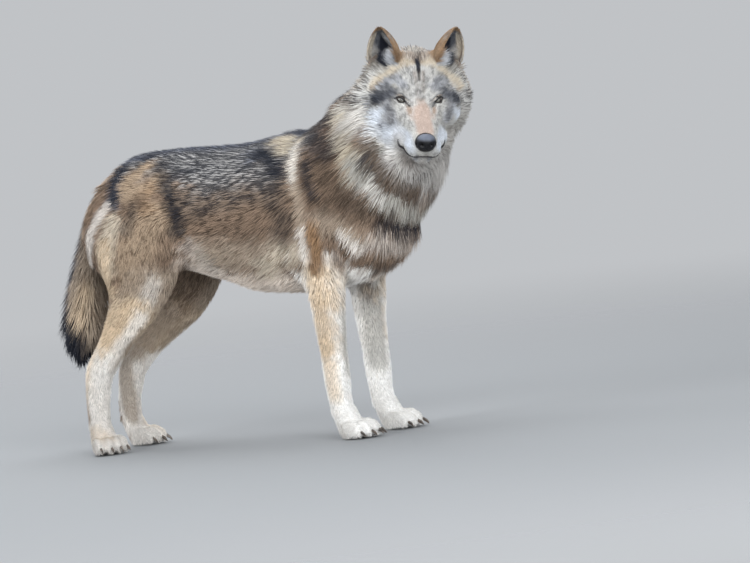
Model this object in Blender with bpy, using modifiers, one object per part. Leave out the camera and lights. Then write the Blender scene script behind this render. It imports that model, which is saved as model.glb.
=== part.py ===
"""Life-size standing timber wolf, as a still model in named solids.

Metres, +Z up. The wolf walks towards +X, its left side is +Y, and its four paws stand on
small flats at Z = 0. The solids give the outline out to the tips of the coat. The head is
turned to the wolf's right and tipped down.

Each assembly (body, head, paw) is a set of overlapping lofts and ellipsoids, made one
surface by a voxel remesh, smoothed, thinned to a triangle count and then parted by thin
slabs into the pieces a person would name.
"""
import math

import bmesh
import bpy
import numpy as np
from mathutils import Matrix, Vector

# ---------------------------------------------------------------- driving dimensions
FORE_SPREAD = 0.086  # half the distance between left and right paws
HIND_SPREAD = 0.085
GAP = 0.0004  # air left between neighbouring solids
SLAB = 0.0008  # thickness of a parting cut

HEAD_AT = Vector((0.628, -0.062, 0.795))  # point midway between the eyes
HEAD_YAW = math.radians(-51.4)  # turned to the right
HEAD_PITCH = math.radians(29.9)  # nose down
HEAD_ROLL = math.radians(-8.2)  # left side a little lower
EYE_RADIUS = 0.0118
EYE_PLACE = (-0.0030, 0.0430, -0.0080)

RING = 28  # points round a loft
STEPS = 9  # rings between two stations

HEAD = (
    Matrix.Translation(HEAD_AT)
    @ Matrix.Rotation(HEAD_YAW, 4, "Z")
    @ Matrix.Rotation(HEAD_PITCH, 4, "Y")
    @ Matrix.Rotation(HEAD_ROLL, 4, "X")
)

# Trunk stations: x, top z, bottom z, half width, all out to the coat's tips.
TRUNK = (
    (-0.378, 0.605, 0.520, 0.045),
    (-0.356, 0.634, 0.470, 0.085),
    (-0.306, 0.682, 0.440, 0.112),
    (-0.232, 0.717, 0.427, 0.126),
    (-0.120, 0.724, 0.422, 0.124),
    (0.000, 0.722, 0.388, 0.128),
    (0.100, 0.724, 0.356, 0.138),
    (0.200, 0.738, 0.348, 0.146),
    (0.280, 0.745, 0.352, 0.146),
    (0.360, 0.725, 0.364, 0.140),
    (0.430, 0.690, 0.386, 0.130),
    (0.485, 0.650, 0.425, 0.105),
    (0.525, 0.610, 0.470, 0.070),
    (0.540, 0.580, 0.505, 0.040),
)

# Lofts along a path: x, y, z of the middle, half width, then the half depths to the front
# (or top) and to the back (or bottom).
NECK = (
    (0.200, 0.000, 0.560, 0.105, 0.125, 0.130),
    (0.280, 0.000, 0.578, 0.134, 0.152, 0.156),
    (0.360, 0.000, 0.605, 0.148, 0.160, 0.175),
    (0.435, 0.001, 0.665, 0.150, 0.152, 0.185),
    (0.490, 0.004, 0.735, 0.142, 0.136, 0.172),
    (0.535, 0.010, 0.795, 0.124, 0.108, 0.138),
    (0.562, 0.014, 0.832, 0.100, 0.080, 0.100),
)
TAIL = (
    (-0.296, 0.0, 0.632, 0.050, 0.045, 0.050),
    (-0.346, 0.0, 0.594, 0.050, 0.042, 0.046),
    (-0.389, 0.0, 0.528, 0.050, 0.042, 0.045),
    (-0.420, 0.0, 0.455, 0.054, 0.048, 0.050),
    (-0.443, 0.0, 0.380, 0.058, 0.056, 0.058),
    (-0.462, 0.0, 0.315, 0.054, 0.056, 0.058),
    (-0.476, 0.0, 0.262, 0.040, 0.042, 0.040),
    (-0.486, 0.0, 0.228, 0.016, 0.016, 0.016),
)
FORE_LEG = (
    (0.300, 0.070, 0.660, 0.050, 0.070, 0.080),
    (0.298, 0.083, 0.560, 0.066, 0.095, 0.100),
    (0.300, 0.090, 0.470, 0.062, 0.086, 0.088),
    (0.310, 0.090, 0.405, 0.050, 0.062, 0.060),
    (0.315, 0.088, 0.345, 0.042, 0.050, 0.047),
    (0.315, 0.086, 0.270, 0.037, 0.041, 0.040),
    (0.317, 0.086, 0.205, 0.033, 0.035, 0.036),
    (0.318, 0.086, 0.150, 0.033, 0.034, 0.035),
    (0.320, 0.086, 0.105, 0.030, 0.030, 0.032),
    (0.323, 0.086, 0.060, 0.030, 0.030, 0.030),
)
HIND_LEG = (
    (-0.225, 0.055, 0.660, 0.050, 0.100, 0.100),
    (-0.218, 0.082, 0.570, 0.068, 0.145, 0.148),
    (-0.212, 0.094, 0.490, 0.066, 0.140, 0.145),
    (-0.215, 0.100, 0.425, 0.055, 0.108, 0.110),
    (-0.235, 0.100, 0.365, 0.046, 0.073, 0.076),
    (-0.278, 0.098, 0.305, 0.039, 0.048, 0.052),
    (-0.326, 0.094, 0.246, 0.034, 0.038, 0.042),
    (-0.366, 0.090, 0.195, 0.030, 0.033, 0.044),
    (-0.383, 0.087, 0.145, 0.028, 0.031, 0.034),
    (-0.390, 0.085, 0.105, 0.028, 0.030, 0.031),
    (-0.392, 0.085, 0.060, 0.028, 0.029, 0.029),
)

# Head stations, in the head's own frame (forward, left, up from between the eyes):
# forward, middle height, half width, half height above it, half height below it.
SKULL = (
    (0.139, -0.052, 0.012, 0.012, 0.016),
    (0.132, -0.053, 0.024, 0.023, 0.028),
    (0.115, -0.055, 0.031, 0.027, 0.039),
    (0.085, -0.053, 0.038, 0.034, 0.049),
    (0.055, -0.049, 0.045, 0.039, 0.055),
    (0.030, -0.043, 0.053, 0.041, 0.060),
    (0.005, -0.032, 0.054, 0.042, 0.066),
    (-0.020, -0.022, 0.066, 0.050, 0.075),
    (-0.050, -0.014, 0.078, 0.062, 0.080),
    (-0.085, -0.012, 0.085, 0.070, 0.083),
    (-0.120, -0.012, 0.083, 0.070, 0.085),
    (-0.155, -0.012, 0.074, 0.064, 0.080),
)
JAW = (
    (0.117, -0.103, 0.011, 0.010, 0.009),
    (0.107, -0.104, 0.020, 0.015, 0.014),
    (0.080, -0.107, 0.028, 0.019, 0.017),
    (0.040, -0.110, 0.038, 0.024, 0.022),
    (0.000, -0.105, 0.048, 0.034, 0.030),
    (-0.040, -0.096, 0.056, 0.040, 0.038),
)
# Ellipsoids of the head: middle (forward, left, up) and the three radii.
WHISKER_PAD = ((0.092, 0.0215, -0.075), (0.040, 0.0235, 0.0265))
JOWL = ((0.034, 0.040, -0.084), (0.050, 0.029, 0.031))
CHEEK = ((-0.040, 0.058, -0.052), (0.066, 0.050, 0.060))
RUFF = ((-0.096, 0.083, -0.072), (0.068, 0.060, 0.102))
THROAT = ((-0.060, 0.020, -0.100), (0.080, 0.065, 0.060))
BROW = ((-0.024, 0.038, 0.008), (0.028, 0.028, 0.018))
EAR_BASE = ((-0.102, 0.056, 0.032), (0.034, 0.036, 0.036))
NOSE = ((0.127, 0.0, -0.046), (0.018, 0.0235, 0.0205))
NAPE = ((-0.140, 0.0, -0.018), (0.064, 0.077, 0.064))
# The neck's crest behind the head, in the body's frame: middle, radii, tilt about y.
CREST = (
    ((0.510, 0.032, 0.790), (0.135, 0.088, 0.078), -24.0),
    ((0.560, 0.038, 0.770), (0.090, 0.085, 0.085), 0.0),
)
# The box that parts the lower jaw: forward, half width, the mouth line's height, the bottom.
JAW_BOX = ((0.030, 0.058, -0.0935, -0.150), (0.160, 0.050, -0.0935, -0.150))
JAW_WALL = 0.0008

# Ear: a curled shell from root to tip, in the head's frame.
EAR_ROOT = (-0.098, 0.069, 0.026)
EAR_TIP = (-0.106, 0.096, 0.124)
EAR_FACING = (0.86, 0.42, -0.05)  # the way the cup opens
EAR_WALL = 0.006
EAR_WIDTHS = (
    (0.00, 0.040),
    (0.25, 0.043),
    (0.50, 0.040),
    (0.75, 0.029),
    (0.92, 0.016),
    (1.00, 0.0065),
)

# The plane that parts head from neck, square to NECK_WAY.
NECK_END = Vector((0.515, 0.010, 0.706))
NECK_WAY = Vector((0.851, -0.344, 0.396)).normalized()

# Paws: place of the shank's foot, the turn outwards, the size against the front right one.
PAWS = {
    "fore_right": ((0.322, -0.086), -6.0, 1.00),
    "fore_left": ((0.327, 0.086), 5.0, 1.00),
    "hind_right": ((-0.392, -0.085), -32.0, 0.93),
    "hind_left": ((-0.418, 0.085), 6.0, 0.93),
}
KNEE_FORWARD = {"hind_left": 0.018}  # that knee is bent further than the other
ANKLE = 0.078  # height of the cut above each paw
# In the paw's frame (forward, left, up from below the shank).
PAW_HEEL = (
    (0.000, 0.0, 0.115, 0.0300, 0.0300, 0.0310),
    (0.001, 0.0, 0.078, 0.0300, 0.0300, 0.0300),
    (0.010, 0.0, 0.050, 0.0345, 0.0290, 0.0300),
    (0.026, 0.0, 0.024, 0.0370, 0.0260, 0.0350),
    (0.040, 0.0, -0.006, 0.0340, 0.0200, 0.0300),
)
TOES = ((-0.031, 0.078, -7.0), (-0.0108, 0.092, -2.0), (0.0108, 0.092, 2.0), (0.031, 0.078, 7.0))
TOE = (
    (-0.060, 0.0, 0.030, 0.0110, 0.0120, 0.0260),
    (-0.034, 0.0, 0.033, 0.0118, 0.0150, 0.0350),
    (-0.016, 0.0, 0.025, 0.0124, 0.0150, 0.0300),
    (-0.004, 0.0, 0.015, 0.0110, 0.0110, 0.0190),
    (0.001, 0.0, 0.012, 0.0055, 0.0055, 0.0090),
)
CLAW = (
    (-0.014, 0.0, 0.0215, 0.0040, 0.0040, 0.0045),
    (-0.002, 0.0, 0.0195, 0.0038, 0.0038, 0.0042),
    (0.009, 0.0, 0.0140, 0.0028, 0.0028, 0.0032),
    (0.0165, 0.0, 0.0062, 0.0010, 0.0010, 0.0012),
)


# ---------------------------------------------------------------- scene and materials
def clear_scene():
    for thing in list(bpy.data.objects):
        bpy.data.objects.remove(thing, do_unlink=True)


def collection(name):
    made = bpy.data.collections.new(name)
    bpy.context.scene.collection.children.link(made)
    return made


def finish(name, colour, roughness):
    """A Principled material of one colour, for the solids' plain look."""
    made = bpy.data.materials.new(name)
    made.use_nodes = True
    shader = made.node_tree.nodes["Principled BSDF"]
    shader.inputs["Base Color"].default_value = (*colour, 1.0)
    shader.inputs["Roughness"].default_value = roughness
    shader.inputs["Metallic"].default_value = 0.0
    made.diffuse_color = (*colour, 1.0)
    return made


def new_object(name, mesh, group):
    made = bpy.data.objects.new(name, mesh)
    group.objects.link(made)
    return made


# ---------------------------------------------------------------- lofts and ellipsoids
def eased_rows(stations, steps):
    """Rows between the stations on a smooth curve through them (Catmull-Rom)."""
    rows = np.array(stations, float)
    before = np.vstack([2 * rows[0] - rows[1], rows[:-1]])
    after = np.vstack([rows[1:], 2 * rows[-1] - rows[-2]])
    slopes = (after - before) / 2
    t = np.linspace(0, 1, steps, endpoint=False)[:, None]
    spans = []
    for i in range(len(rows) - 1):
        spans.append(
            (2 * t**3 - 3 * t**2 + 1) * rows[i]
            + (t**3 - 2 * t**2 + t) * slopes[i]
            + (3 * t**2 - 2 * t**3) * rows[i + 1]
            + (t**3 - t**2) * slopes[i + 1]
        )
    return np.vstack([*spans, rows[-1:]])


def ring_points(middle, side, upper, half_width, above, below, power=2.2):
    """One closed section: a superellipse, deeper on one side of the middle than the other."""
    turn = np.linspace(0, 2 * math.pi, RING, endpoint=False)
    across = np.sign(np.cos(turn)) * np.abs(np.cos(turn)) ** (2 / power)
    along = np.sign(np.sin(turn)) * np.abs(np.sin(turn)) ** (2 / power)
    depth = np.where(along > 0, above, below) * along
    return middle + np.outer(across * half_width, side) + np.outer(depth, upper)


def loft(rings):
    """A closed mesh through rings of equal count, capped by flat ends."""
    count = len(rings[0])
    points = np.vstack(rings)
    faces = []
    for i in range(len(rings) - 1):
        for j in range(count):
            k = (j + 1) % count
            faces.append((i * count + j, i * count + k, (i + 1) * count + k, (i + 1) * count + j))
    faces.append(tuple(reversed(range(count))))
    faces.append(tuple(range(len(points) - count, len(points))))
    mesh = bpy.data.meshes.new("loft")
    mesh.from_pydata(points.tolist(), [], faces)
    return outward(mesh)


def outward(mesh):
    """The mesh with all its normals pointing out."""
    edit = bmesh.new()
    edit.from_mesh(mesh)
    bmesh.ops.recalc_face_normals(edit, faces=edit.faces)
    edit.to_mesh(mesh)
    edit.free()
    return mesh


def path_loft(stations, mirror=1):
    """A loft whose sections stand square to the path of their middles."""
    rows = eased_rows(stations, STEPS)
    middles = rows[:, :3] * (1, mirror, 1)
    ways = np.gradient(middles, axis=0)
    ways /= np.linalg.norm(ways, axis=1)[:, None]
    rings = []
    for middle, way, row in zip(middles, ways, rows):
        side = np.array((0.0, 1.0, 0.0)) - way[1] * way
        side /= np.linalg.norm(side)
        rings.append(ring_points(middle, side, np.cross(way, side), row[3], row[4], row[5]))
    return loft(rings)


def trunk_loft():
    rings = []
    for x, top, bottom, half_width in eased_rows(TRUNK, STEPS):
        middle = np.array((x, 0.0, bottom + 0.52 * (top - bottom)))
        above, below = top - middle[2], middle[2] - bottom
        rings.append(ring_points(middle, (0, 1, 0), (0, 0, 1), half_width, above, below))
    return loft(rings)


def head_loft(stations, power):
    rings = []
    for forward, height, half_width, above, below in eased_rows(stations, STEPS):
        middle = np.array((forward, 0.0, height))
        rings.append(ring_points(middle, (0, 1, 0), (0, 0, 1), half_width, above, below, power))
    return loft(rings)


def ellipsoid(middle, radii, mirror=1, around=24):
    edit = bmesh.new()
    place = Matrix.Translation((middle[0], middle[1] * mirror, middle[2]))
    bmesh.ops.create_uvsphere(
        edit,
        u_segments=around,
        v_segments=2 * around // 3,
        radius=1.0,
        matrix=place @ Matrix.Diagonal((*radii, 1.0)),
    )
    mesh = bpy.data.meshes.new("ellipsoid")
    edit.to_mesh(mesh)
    edit.free()
    return mesh


# ---------------------------------------------------------------- joining and cutting
def evaluated_mesh(thing):
    bpy.context.view_layer.update()
    graph = bpy.context.evaluated_depsgraph_get()
    return bpy.data.meshes.new_from_object(thing.evaluated_get(graph))


def merged(meshes):
    edit = bmesh.new()
    for mesh in meshes:
        edit.from_mesh(mesh)
    made = bpy.data.meshes.new("merged")
    edit.to_mesh(made)
    edit.free()
    return made


def apply_modifiers(mesh, *settings):
    """The mesh after these modifiers, each given as its type and a dict of its settings."""
    holder = bpy.data.objects.new("holder", mesh)
    bpy.context.scene.collection.objects.link(holder)
    for kind, values in settings:
        modifier = holder.modifiers.new(kind.lower(), kind)
        for key, value in values.items():
            setattr(modifier, key, value)
    made = evaluated_mesh(holder)
    bpy.data.objects.remove(holder)
    return made


def one_surface(meshes, voxel, smoothing, triangles):
    """Overlapping closed meshes made one smooth closed surface of about that many triangles."""
    whole = apply_modifiers(
        merged(meshes),
        ("REMESH", {"mode": "VOXEL", "voxel_size": voxel}),
        ("SMOOTH", {"factor": 0.5, "iterations": smoothing}),
    )
    whole.calc_loop_triangles()
    ratio = triangles / len(whole.loop_triangles)
    return apply_modifiers(
        whole, ("DECIMATE", {"ratio": ratio}), ("TRIANGULATE", {"keep_custom_normals": False})
    )


def disc(middle, way, radius, thickness=SLAB):
    """A thin round slab, square to the way given."""
    edit = bmesh.new()
    turn = Vector(way).to_track_quat("Z", "Y").to_matrix().to_4x4()
    bmesh.ops.create_cone(
        edit,
        cap_ends=True,
        segments=20,
        radius1=radius,
        radius2=radius,
        depth=thickness,
        matrix=Matrix.Translation(middle) @ turn,
    )
    mesh = bpy.data.meshes.new("disc")
    edit.to_mesh(mesh)
    edit.free()
    return mesh


def box(low, high, turn=None):
    edit = bmesh.new()
    low, high = Vector(low), Vector(high)
    place = Matrix.Translation((low + high) / 2) @ Matrix.Diagonal((*(high - low), 1.0))
    bmesh.ops.create_cube(edit, size=1.0, matrix=(turn or Matrix()) @ place)
    mesh = bpy.data.meshes.new("box")
    edit.to_mesh(mesh)
    edit.free()
    return mesh


def swollen(mesh, by):
    """A copy of a closed mesh, grown outwards by a small amount."""
    edit = bmesh.new()
    edit.from_mesh(mesh)
    edit.normal_update()
    for vertex in edit.verts:
        vertex.co += vertex.normal * by
    made = bpy.data.meshes.new("swollen")
    edit.to_mesh(made)
    edit.free()
    return made


def cut(mesh, cutters, group):
    """The mesh less each cutter, by exact Booleans."""
    helpers = []
    for cutter in cutters:
        helper = new_object("cutter", cutter, group)
        helper.hide_render = True
        helper.display_type = "WIRE"
        helpers.append(helper)
    settings = [
        ("BOOLEAN", {"operation": "DIFFERENCE", "object": helper, "solver": "EXACT"})
        for helper in helpers
    ]
    return apply_modifiers(mesh, *settings)


def islands(mesh):
    """The mesh's separate closed bodies, each as a mesh of its own, largest first."""
    edit = bmesh.new()
    edit.from_mesh(mesh)
    bmesh.ops.remove_doubles(edit, verts=edit.verts, dist=1e-7)
    edit.verts.ensure_lookup_table()
    label = {}
    for start in edit.verts:
        if start in label:
            continue
        todo = [start]
        label[start] = start
        while todo:
            for edge in todo.pop().link_edges:
                for other in edge.verts:
                    if other not in label:
                        label[other] = start
                        todo.append(other)
    groups = {}
    for face in edit.faces:
        groups.setdefault(label[face.verts[0]], []).append(face)
    made = []
    for faces in sorted(groups.values(), key=len, reverse=True):
        number = {}
        for face in faces:
            for vertex in face.verts:
                number.setdefault(vertex, len(number))
        part = bpy.data.meshes.new("island")
        part.from_pydata(
            [tuple(v.co) for v in number], [], [[number[v] for v in f.verts] for f in faces]
        )
        made.append(part)
    edit.free()
    return made


def middle_of(mesh):
    points = np.empty(len(mesh.vertices) * 3, np.float32)
    mesh.vertices.foreach_get("co", points)
    points = points.reshape(-1, 3)
    return Vector(((points.min(axis=0) + points.max(axis=0)) / 2).tolist())


def name_islands(mesh, spots):
    """Names each separate body after the spot nearest its middle. Crumbs are left out."""
    found = {}
    for part in islands(mesh)[: len(spots)]:
        middle = middle_of(part)
        name = min(
            (n for n in spots if n not in found), key=lambda n: (Vector(spots[n]) - middle).length
        )
        found[name] = part
    return found


# ---------------------------------------------------------------- body
SIDES = {"left": 1, "right": -1}


def leg_stations(name):
    """The stations of one leg, its lower part led to where that paw stands."""
    end, side = name.split("_")
    stations = FORE_LEG if end == "fore" else HIND_LEG
    (x, y), _, _ = PAWS[name]
    mirror = SIDES[side]
    foot = stations[-1]
    rows = []
    for row in stations:
        weight = min(max((0.42 - row[2]) / 0.25, 0.0), 1.0)
        moved = row[0] + weight * (x - foot[0]), mirror * row[1] + weight * (y - mirror * foot[1])
        knee = KNEE_FORWARD.get(name, 0.0) * math.exp(-(((row[2] - 0.335) / 0.05) ** 2))
        rows.append((*moved, row[2], row[3], row[4] + knee, row[5]))
    return tuple(rows)


def head_shapes():
    """The head's masses in the body's frame."""
    meshes = [head_loft(SKULL, 2.3), head_loft(JAW, 2.4)]
    for mirror in SIDES.values():
        for shape in (WHISKER_PAD, JOWL, CHEEK, RUFF, THROAT, BROW, EAR_BASE):
            meshes.append(ellipsoid(*shape, mirror))
    meshes.append(ellipsoid(*NAPE))
    for mesh in meshes:
        mesh.transform(HEAD)
    for middle, radii, tilt in CREST:
        mesh = ellipsoid((0.0, 0.0, 0.0), radii)
        mesh.transform(Matrix.Translation(middle) @ Matrix.Rotation(math.radians(tilt), 4, "Y"))
        meshes.append(mesh)
    return meshes


def tail_cup():
    """A thin cup about the tail's root, open below: it parts the tail from the rump."""
    rows = eased_rows(TAIL, STEPS)[4:31:3]
    rings = {}
    for grow in (0.005, 0.005 + SLAB):
        rings[grow] = []
        ways = np.gradient(rows[:, :3], axis=0)
        ways /= np.linalg.norm(ways, axis=1)[:, None]
        for row, way in zip(rows, ways):
            side = np.array((0.0, 1.0, 0.0))
            sizes = row[3:6] + grow
            rings[grow].append(ring_points(row[:3], side, np.cross(way, side), *sizes))
        rings[grow][0] = rings[grow][0] - ways[0] * (grow - 0.005)
    inner, outer = rings[0.005], rings[0.005 + SLAB]
    return loft([*outer, *reversed(inner)])


def body_pieces(cutters):
    """Trunk, neck, tail and the parts of the legs down to the ankles."""
    meshes = [trunk_loft(), path_loft(NECK), path_loft(TAIL), *head_shapes()]
    meshes += [path_loft(leg_stations(name)) for name in PAWS]
    whole = one_surface(meshes, voxel=0.0062, smoothing=5, triangles=2350)
    slabs = [
        disc((0.425, 0.0, 0.620), (0.80, 0.0, 0.60), 0.300),
        disc(NECK_END, NECK_WAY, 0.300),
        tail_cup(),
    ]
    spots = {
        "trunk": (0.04, 0.0, 0.55),
        "neck": (0.47, 0.0, 0.69),
        "tail": (-0.43, 0.0, 0.42),
        "spare_head": (0.60, -0.03, 0.78),
    }
    for name in PAWS:
        end, side = name.split("_")
        rows = eased_rows(leg_stations(name), STEPS)

        def at(height):
            return tuple(rows[np.argmin(np.abs(rows[:, 2] - height)), :3])

        if end == "fore":
            slabs.append(disc(at(0.340), (0.0, 0.0, 1.0), 0.072))
            slabs.append(disc(at(0.150), (0.1, 0.0, 1.0), 0.056))
            spots[f"forearm_{side}"] = at(0.245)
            spots[f"fore_pastern_{side}"] = at(0.114)
        else:
            slabs.append(disc(at(0.398), (0.10, 0.0, 1.0), 0.128))
            slabs.append(disc(at(0.205), (0.35, 0.0, 0.94), 0.066))
            spots[f"shank_{side}"] = at(0.300)
            spots[f"hock_{side}"] = at(0.145)
        slabs.append(disc((*at(ANKLE)[:2], ANKLE), (0.0, 0.0, 1.0), 0.056))
        spots[f"spare_{name}"] = at(0.065)
    found = name_islands(cut(whole, slabs, cutters), spots)
    return {name: mesh for name, mesh in found.items() if not name.startswith("spare")}


# ---------------------------------------------------------------- head
def jaw_cup():
    """A thin-walled box, open in front, whose lid is the mouth line: it frees the lower jaw."""
    shells = []
    for wall in (0.0, JAW_WALL):
        rings = []
        for forward, half, top, bottom in JAW_BOX:
            across = (half + wall, -half - wall, -half - wall, half + wall)
            up = (top + wall, top + wall, bottom - wall, bottom - wall)
            back = wall if forward == JAW_BOX[0][0] else 0.0
            rings.append(np.array([(forward - back, y, z) for y, z in zip(across, up)]))
        shells.append(rings)
    inner, outer = shells
    return in_head(loft([*outer, *reversed(inner)]))


def in_head(mesh):
    mesh.transform(HEAD)
    return mesh


def head_pieces(cutters):
    """Head, lower jaw, nose pad, eyes and ears."""
    made = {"nose": in_head(ellipsoid(*NOSE, around=14))}
    for side, mirror in SIDES.items():
        made[f"eye_{side}"] = in_head(ellipsoid(EYE_PLACE, (EYE_RADIUS,) * 3, mirror, 12))
    meshes = [*head_shapes(), path_loft(NECK)]
    whole = one_surface(meshes, voxel=0.0036, smoothing=14, triangles=1650)
    sockets = [swollen(mesh, GAP) for mesh in made.values()]
    slabs = [disc(NECK_END, NECK_WAY, 0.300), jaw_cup()]
    spots = {
        "head": HEAD @ Vector((-0.05, 0.0, -0.02)),
        "lower_jaw": HEAD @ Vector((0.06, 0.0, -0.095)),
        "spare_neck": (0.38, 0.0, 0.62),
    }
    found = name_islands(cut(whole, slabs + sockets, cutters), spots)
    found.pop("spare_neck", None)
    skin = [swollen(found["head"], GAP)]
    for side, mirror in SIDES.items():
        ear = cut(in_head(ear_shell(mirror)), skin, cutters)
        found[f"ear_{side}"] = islands(ear)[0]
    return {**found, **made}


def ear_shell(mirror):
    """A curled ear of even wall, open towards its facing."""
    root, tip = np.array(EAR_ROOT), np.array(EAR_TIP)
    up = (tip - root) / np.linalg.norm(tip - root)
    facing = np.array(EAR_FACING)
    facing = facing - facing.dot(up) * up
    facing /= np.linalg.norm(facing)
    across = np.cross(up, facing)
    bend = np.radians(np.linspace(-118, 118, 9))
    rings = []
    for t, width in eased_rows(EAR_WIDTHS, 2):
        middle = root + t * (tip - root) + facing * (0.004 - 0.012 * t)
        ring = []
        for reach in (width, max(width - EAR_WALL, width * 0.35)):
            arc = (
                np.outer(np.sin(bend), across) * reach
                - np.outer(np.cos(bend) * 0.72, facing) * reach
            )
            ring.append(middle + (arc if reach == width else arc[::-1]))
        rings.append(np.vstack(ring) * (1, mirror, 1))
    return loft(rings)


# ---------------------------------------------------------------- paws
def paw_pieces(name, cutters):
    """One paw with its flat print, and its four claws."""
    (x, y), turn, size = PAWS[name]
    place = (
        Matrix.Translation((x, y, 0.0))
        @ Matrix.Rotation(math.radians(turn), 4, "Z")
        @ Matrix.Diagonal((size, size, 1.0, 1.0))
    )
    meshes, claws = [path_loft(PAW_HEEL)], []
    for left, reach, splay in TOES:
        there = (
            Matrix.Translation((reach - 0.05, left, 0.0))
            @ Matrix.Rotation(math.radians(splay), 4, "Z")
            @ Matrix.Translation((0.05, 0.0, 0.0))
        )
        toe, claw = path_loft(TOE), path_loft(CLAW)
        toe.transform(there)
        claw.transform(there)
        meshes.append(toe)
        claws.append(claw)
    for mesh in meshes + claws:
        mesh.transform(place)
    meshes.append(path_loft(leg_stations(name)[-4:]))
    whole = one_surface(meshes, voxel=0.0027, smoothing=3, triangles=350)
    cutter = [
        box((x - 0.2, y - 0.2, ANKLE - SLAB / 2), (x + 0.2, y + 0.2, 0.40)),
        box((x - 0.2, y - 0.2, -0.1), (x + 0.2, y + 0.2, 0.0)),
    ]
    paw = islands(cut(whole, cutter, cutters))[0]
    made = {f"{name}_paw": paw}
    for number, claw in enumerate(claws, 1):
        clear = islands(cut(decimated(claw, 22), [swollen(paw, GAP)], cutters))[0]
        made[f"{name}_claw_{number}"] = clear
    return made


def decimated(mesh, triangles):
    mesh.calc_loop_triangles()
    ratio = triangles / len(mesh.loop_triangles)
    return apply_modifiers(mesh, ("DECIMATE", {"ratio": ratio}))


# ---------------------------------------------------------------- assembly
FINISHES = {
    "coat": ((0.330, 0.275, 0.215), 0.85),
    "pale_coat": ((0.640, 0.600, 0.540), 0.85),
    "nose_leather": ((0.020, 0.020, 0.024), 0.35),
    "eyeball": ((0.420, 0.340, 0.170), 0.10),
    "horn": ((0.050, 0.045, 0.042), 0.45),
}


def finish_for(name):
    if "claw" in name:
        return "horn"
    if name.startswith("eye"):
        return "eyeball"
    if name == "nose":
        return "nose_leather"
    if "paw" in name or "pastern" in name or "hock" in name or name == "lower_jaw":
        return "pale_coat"
    return "coat"


def bottom_middle(meshes):
    """The middle of the whole outline, at the level of the prints."""
    low, high = Vector((math.inf,) * 3), Vector((-math.inf,) * 3)
    for mesh in meshes:
        for vertex in mesh.vertices:
            for i in range(3):
                low[i] = min(low[i], vertex.co[i])
                high[i] = max(high[i], vertex.co[i])
    return Vector(((low.x + high.x) / 2, (low.y + high.y) / 2, 0.0))


def main():
    clear_scene()
    wolf = collection("wolf")
    cutters = collection("cutters")
    pieces = {**body_pieces(cutters), **head_pieces(cutters)}
    for name in PAWS:
        pieces.update(paw_pieces(name, cutters))
    for helper in list(cutters.objects):
        bpy.data.objects.remove(helper, do_unlink=True)
    finishes = {key: finish(key, *values) for key, values in FINISHES.items()}
    to_origin = Matrix.Translation(-bottom_middle(pieces.values()))
    for name, mesh in pieces.items():
        mesh.transform(to_origin)
        made = new_object(name, outward(mesh), wolf)
        made.data.materials.append(finishes[finish_for(name)])


if __name__ == "__main__":
    main()
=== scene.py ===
"""A timber wolf that stands and looks round: its skin, coat, face and small parts.

Metres, +Z up; the wolf walks towards +X and its left side is +Y. The lines that
the coat, its markings and the features of the face follow are in millimetres,
those of the head in the head's own axes: forward, left and up from between the eyes.
"""

from __future__ import annotations

import logging
import math
from collections.abc import Callable
from dataclasses import dataclass, field
from enum import Enum
from functools import partial

import bmesh
import bpy
import numpy as np
from mathutils import Matrix, Vector

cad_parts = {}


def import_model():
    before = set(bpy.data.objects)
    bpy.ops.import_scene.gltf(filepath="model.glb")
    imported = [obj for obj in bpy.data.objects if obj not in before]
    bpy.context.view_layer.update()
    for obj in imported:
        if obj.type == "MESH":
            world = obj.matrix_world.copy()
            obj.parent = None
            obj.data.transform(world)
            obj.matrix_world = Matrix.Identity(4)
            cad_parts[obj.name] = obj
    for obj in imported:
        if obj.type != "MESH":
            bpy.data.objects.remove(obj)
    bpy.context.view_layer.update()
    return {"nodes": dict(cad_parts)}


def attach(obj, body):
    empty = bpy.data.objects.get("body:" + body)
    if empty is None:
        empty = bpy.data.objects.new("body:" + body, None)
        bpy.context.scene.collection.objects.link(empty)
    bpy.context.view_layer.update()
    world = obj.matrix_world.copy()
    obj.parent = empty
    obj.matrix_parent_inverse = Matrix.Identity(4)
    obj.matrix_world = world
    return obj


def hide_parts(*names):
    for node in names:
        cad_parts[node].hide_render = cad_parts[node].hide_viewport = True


log = logging.getLogger("wolf")

SEED = 11
MM = 0.001
COAT_MAP = "OFBake"
COAT_PAINT = "Coat"

FAR = 9.0  # farther than any two places on the wolf are apart
GRID_SHIFT = 100.0  # keeps the cells of space above zero

Pair = tuple[float, float]
Triple = tuple[float, float, float]
Surface = tuple[np.ndarray, np.ndarray]  # corners, and triangles as corner numbers


# ---- small tools


def unit(vectors: np.ndarray) -> np.ndarray:
    """Gives each vector a length of one."""
    size = np.linalg.norm(vectors, axis=-1, keepdims=True)
    return vectors / np.maximum(size, 1e-12)


def dot(a: np.ndarray, b: np.ndarray) -> np.ndarray:
    """The scalar product along the last axis."""
    return (a * b).sum(-1)


def eased(value: np.ndarray, low: float = 0.0, high: float = 1.0) -> np.ndarray:
    """A soft step: 0 below low, 1 above high, and a smooth slope between."""
    t = np.clip((np.asarray(value, float) - low) / (high - low), 0.0, 1.0)
    return t * t * (3.0 - 2.0 * t)


def mixed(a: np.ndarray, b: np.ndarray, share: np.ndarray) -> np.ndarray:
    """Goes from a to b by share, row by row."""
    share = np.asarray(share)[..., None]
    return a * (1.0 - share) + b * share


def across(ways: np.ndarray, normals: np.ndarray) -> np.ndarray:
    """Lays directions flat on the surface."""
    return unit(ways - normals * dot(ways, normals)[..., None])


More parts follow.
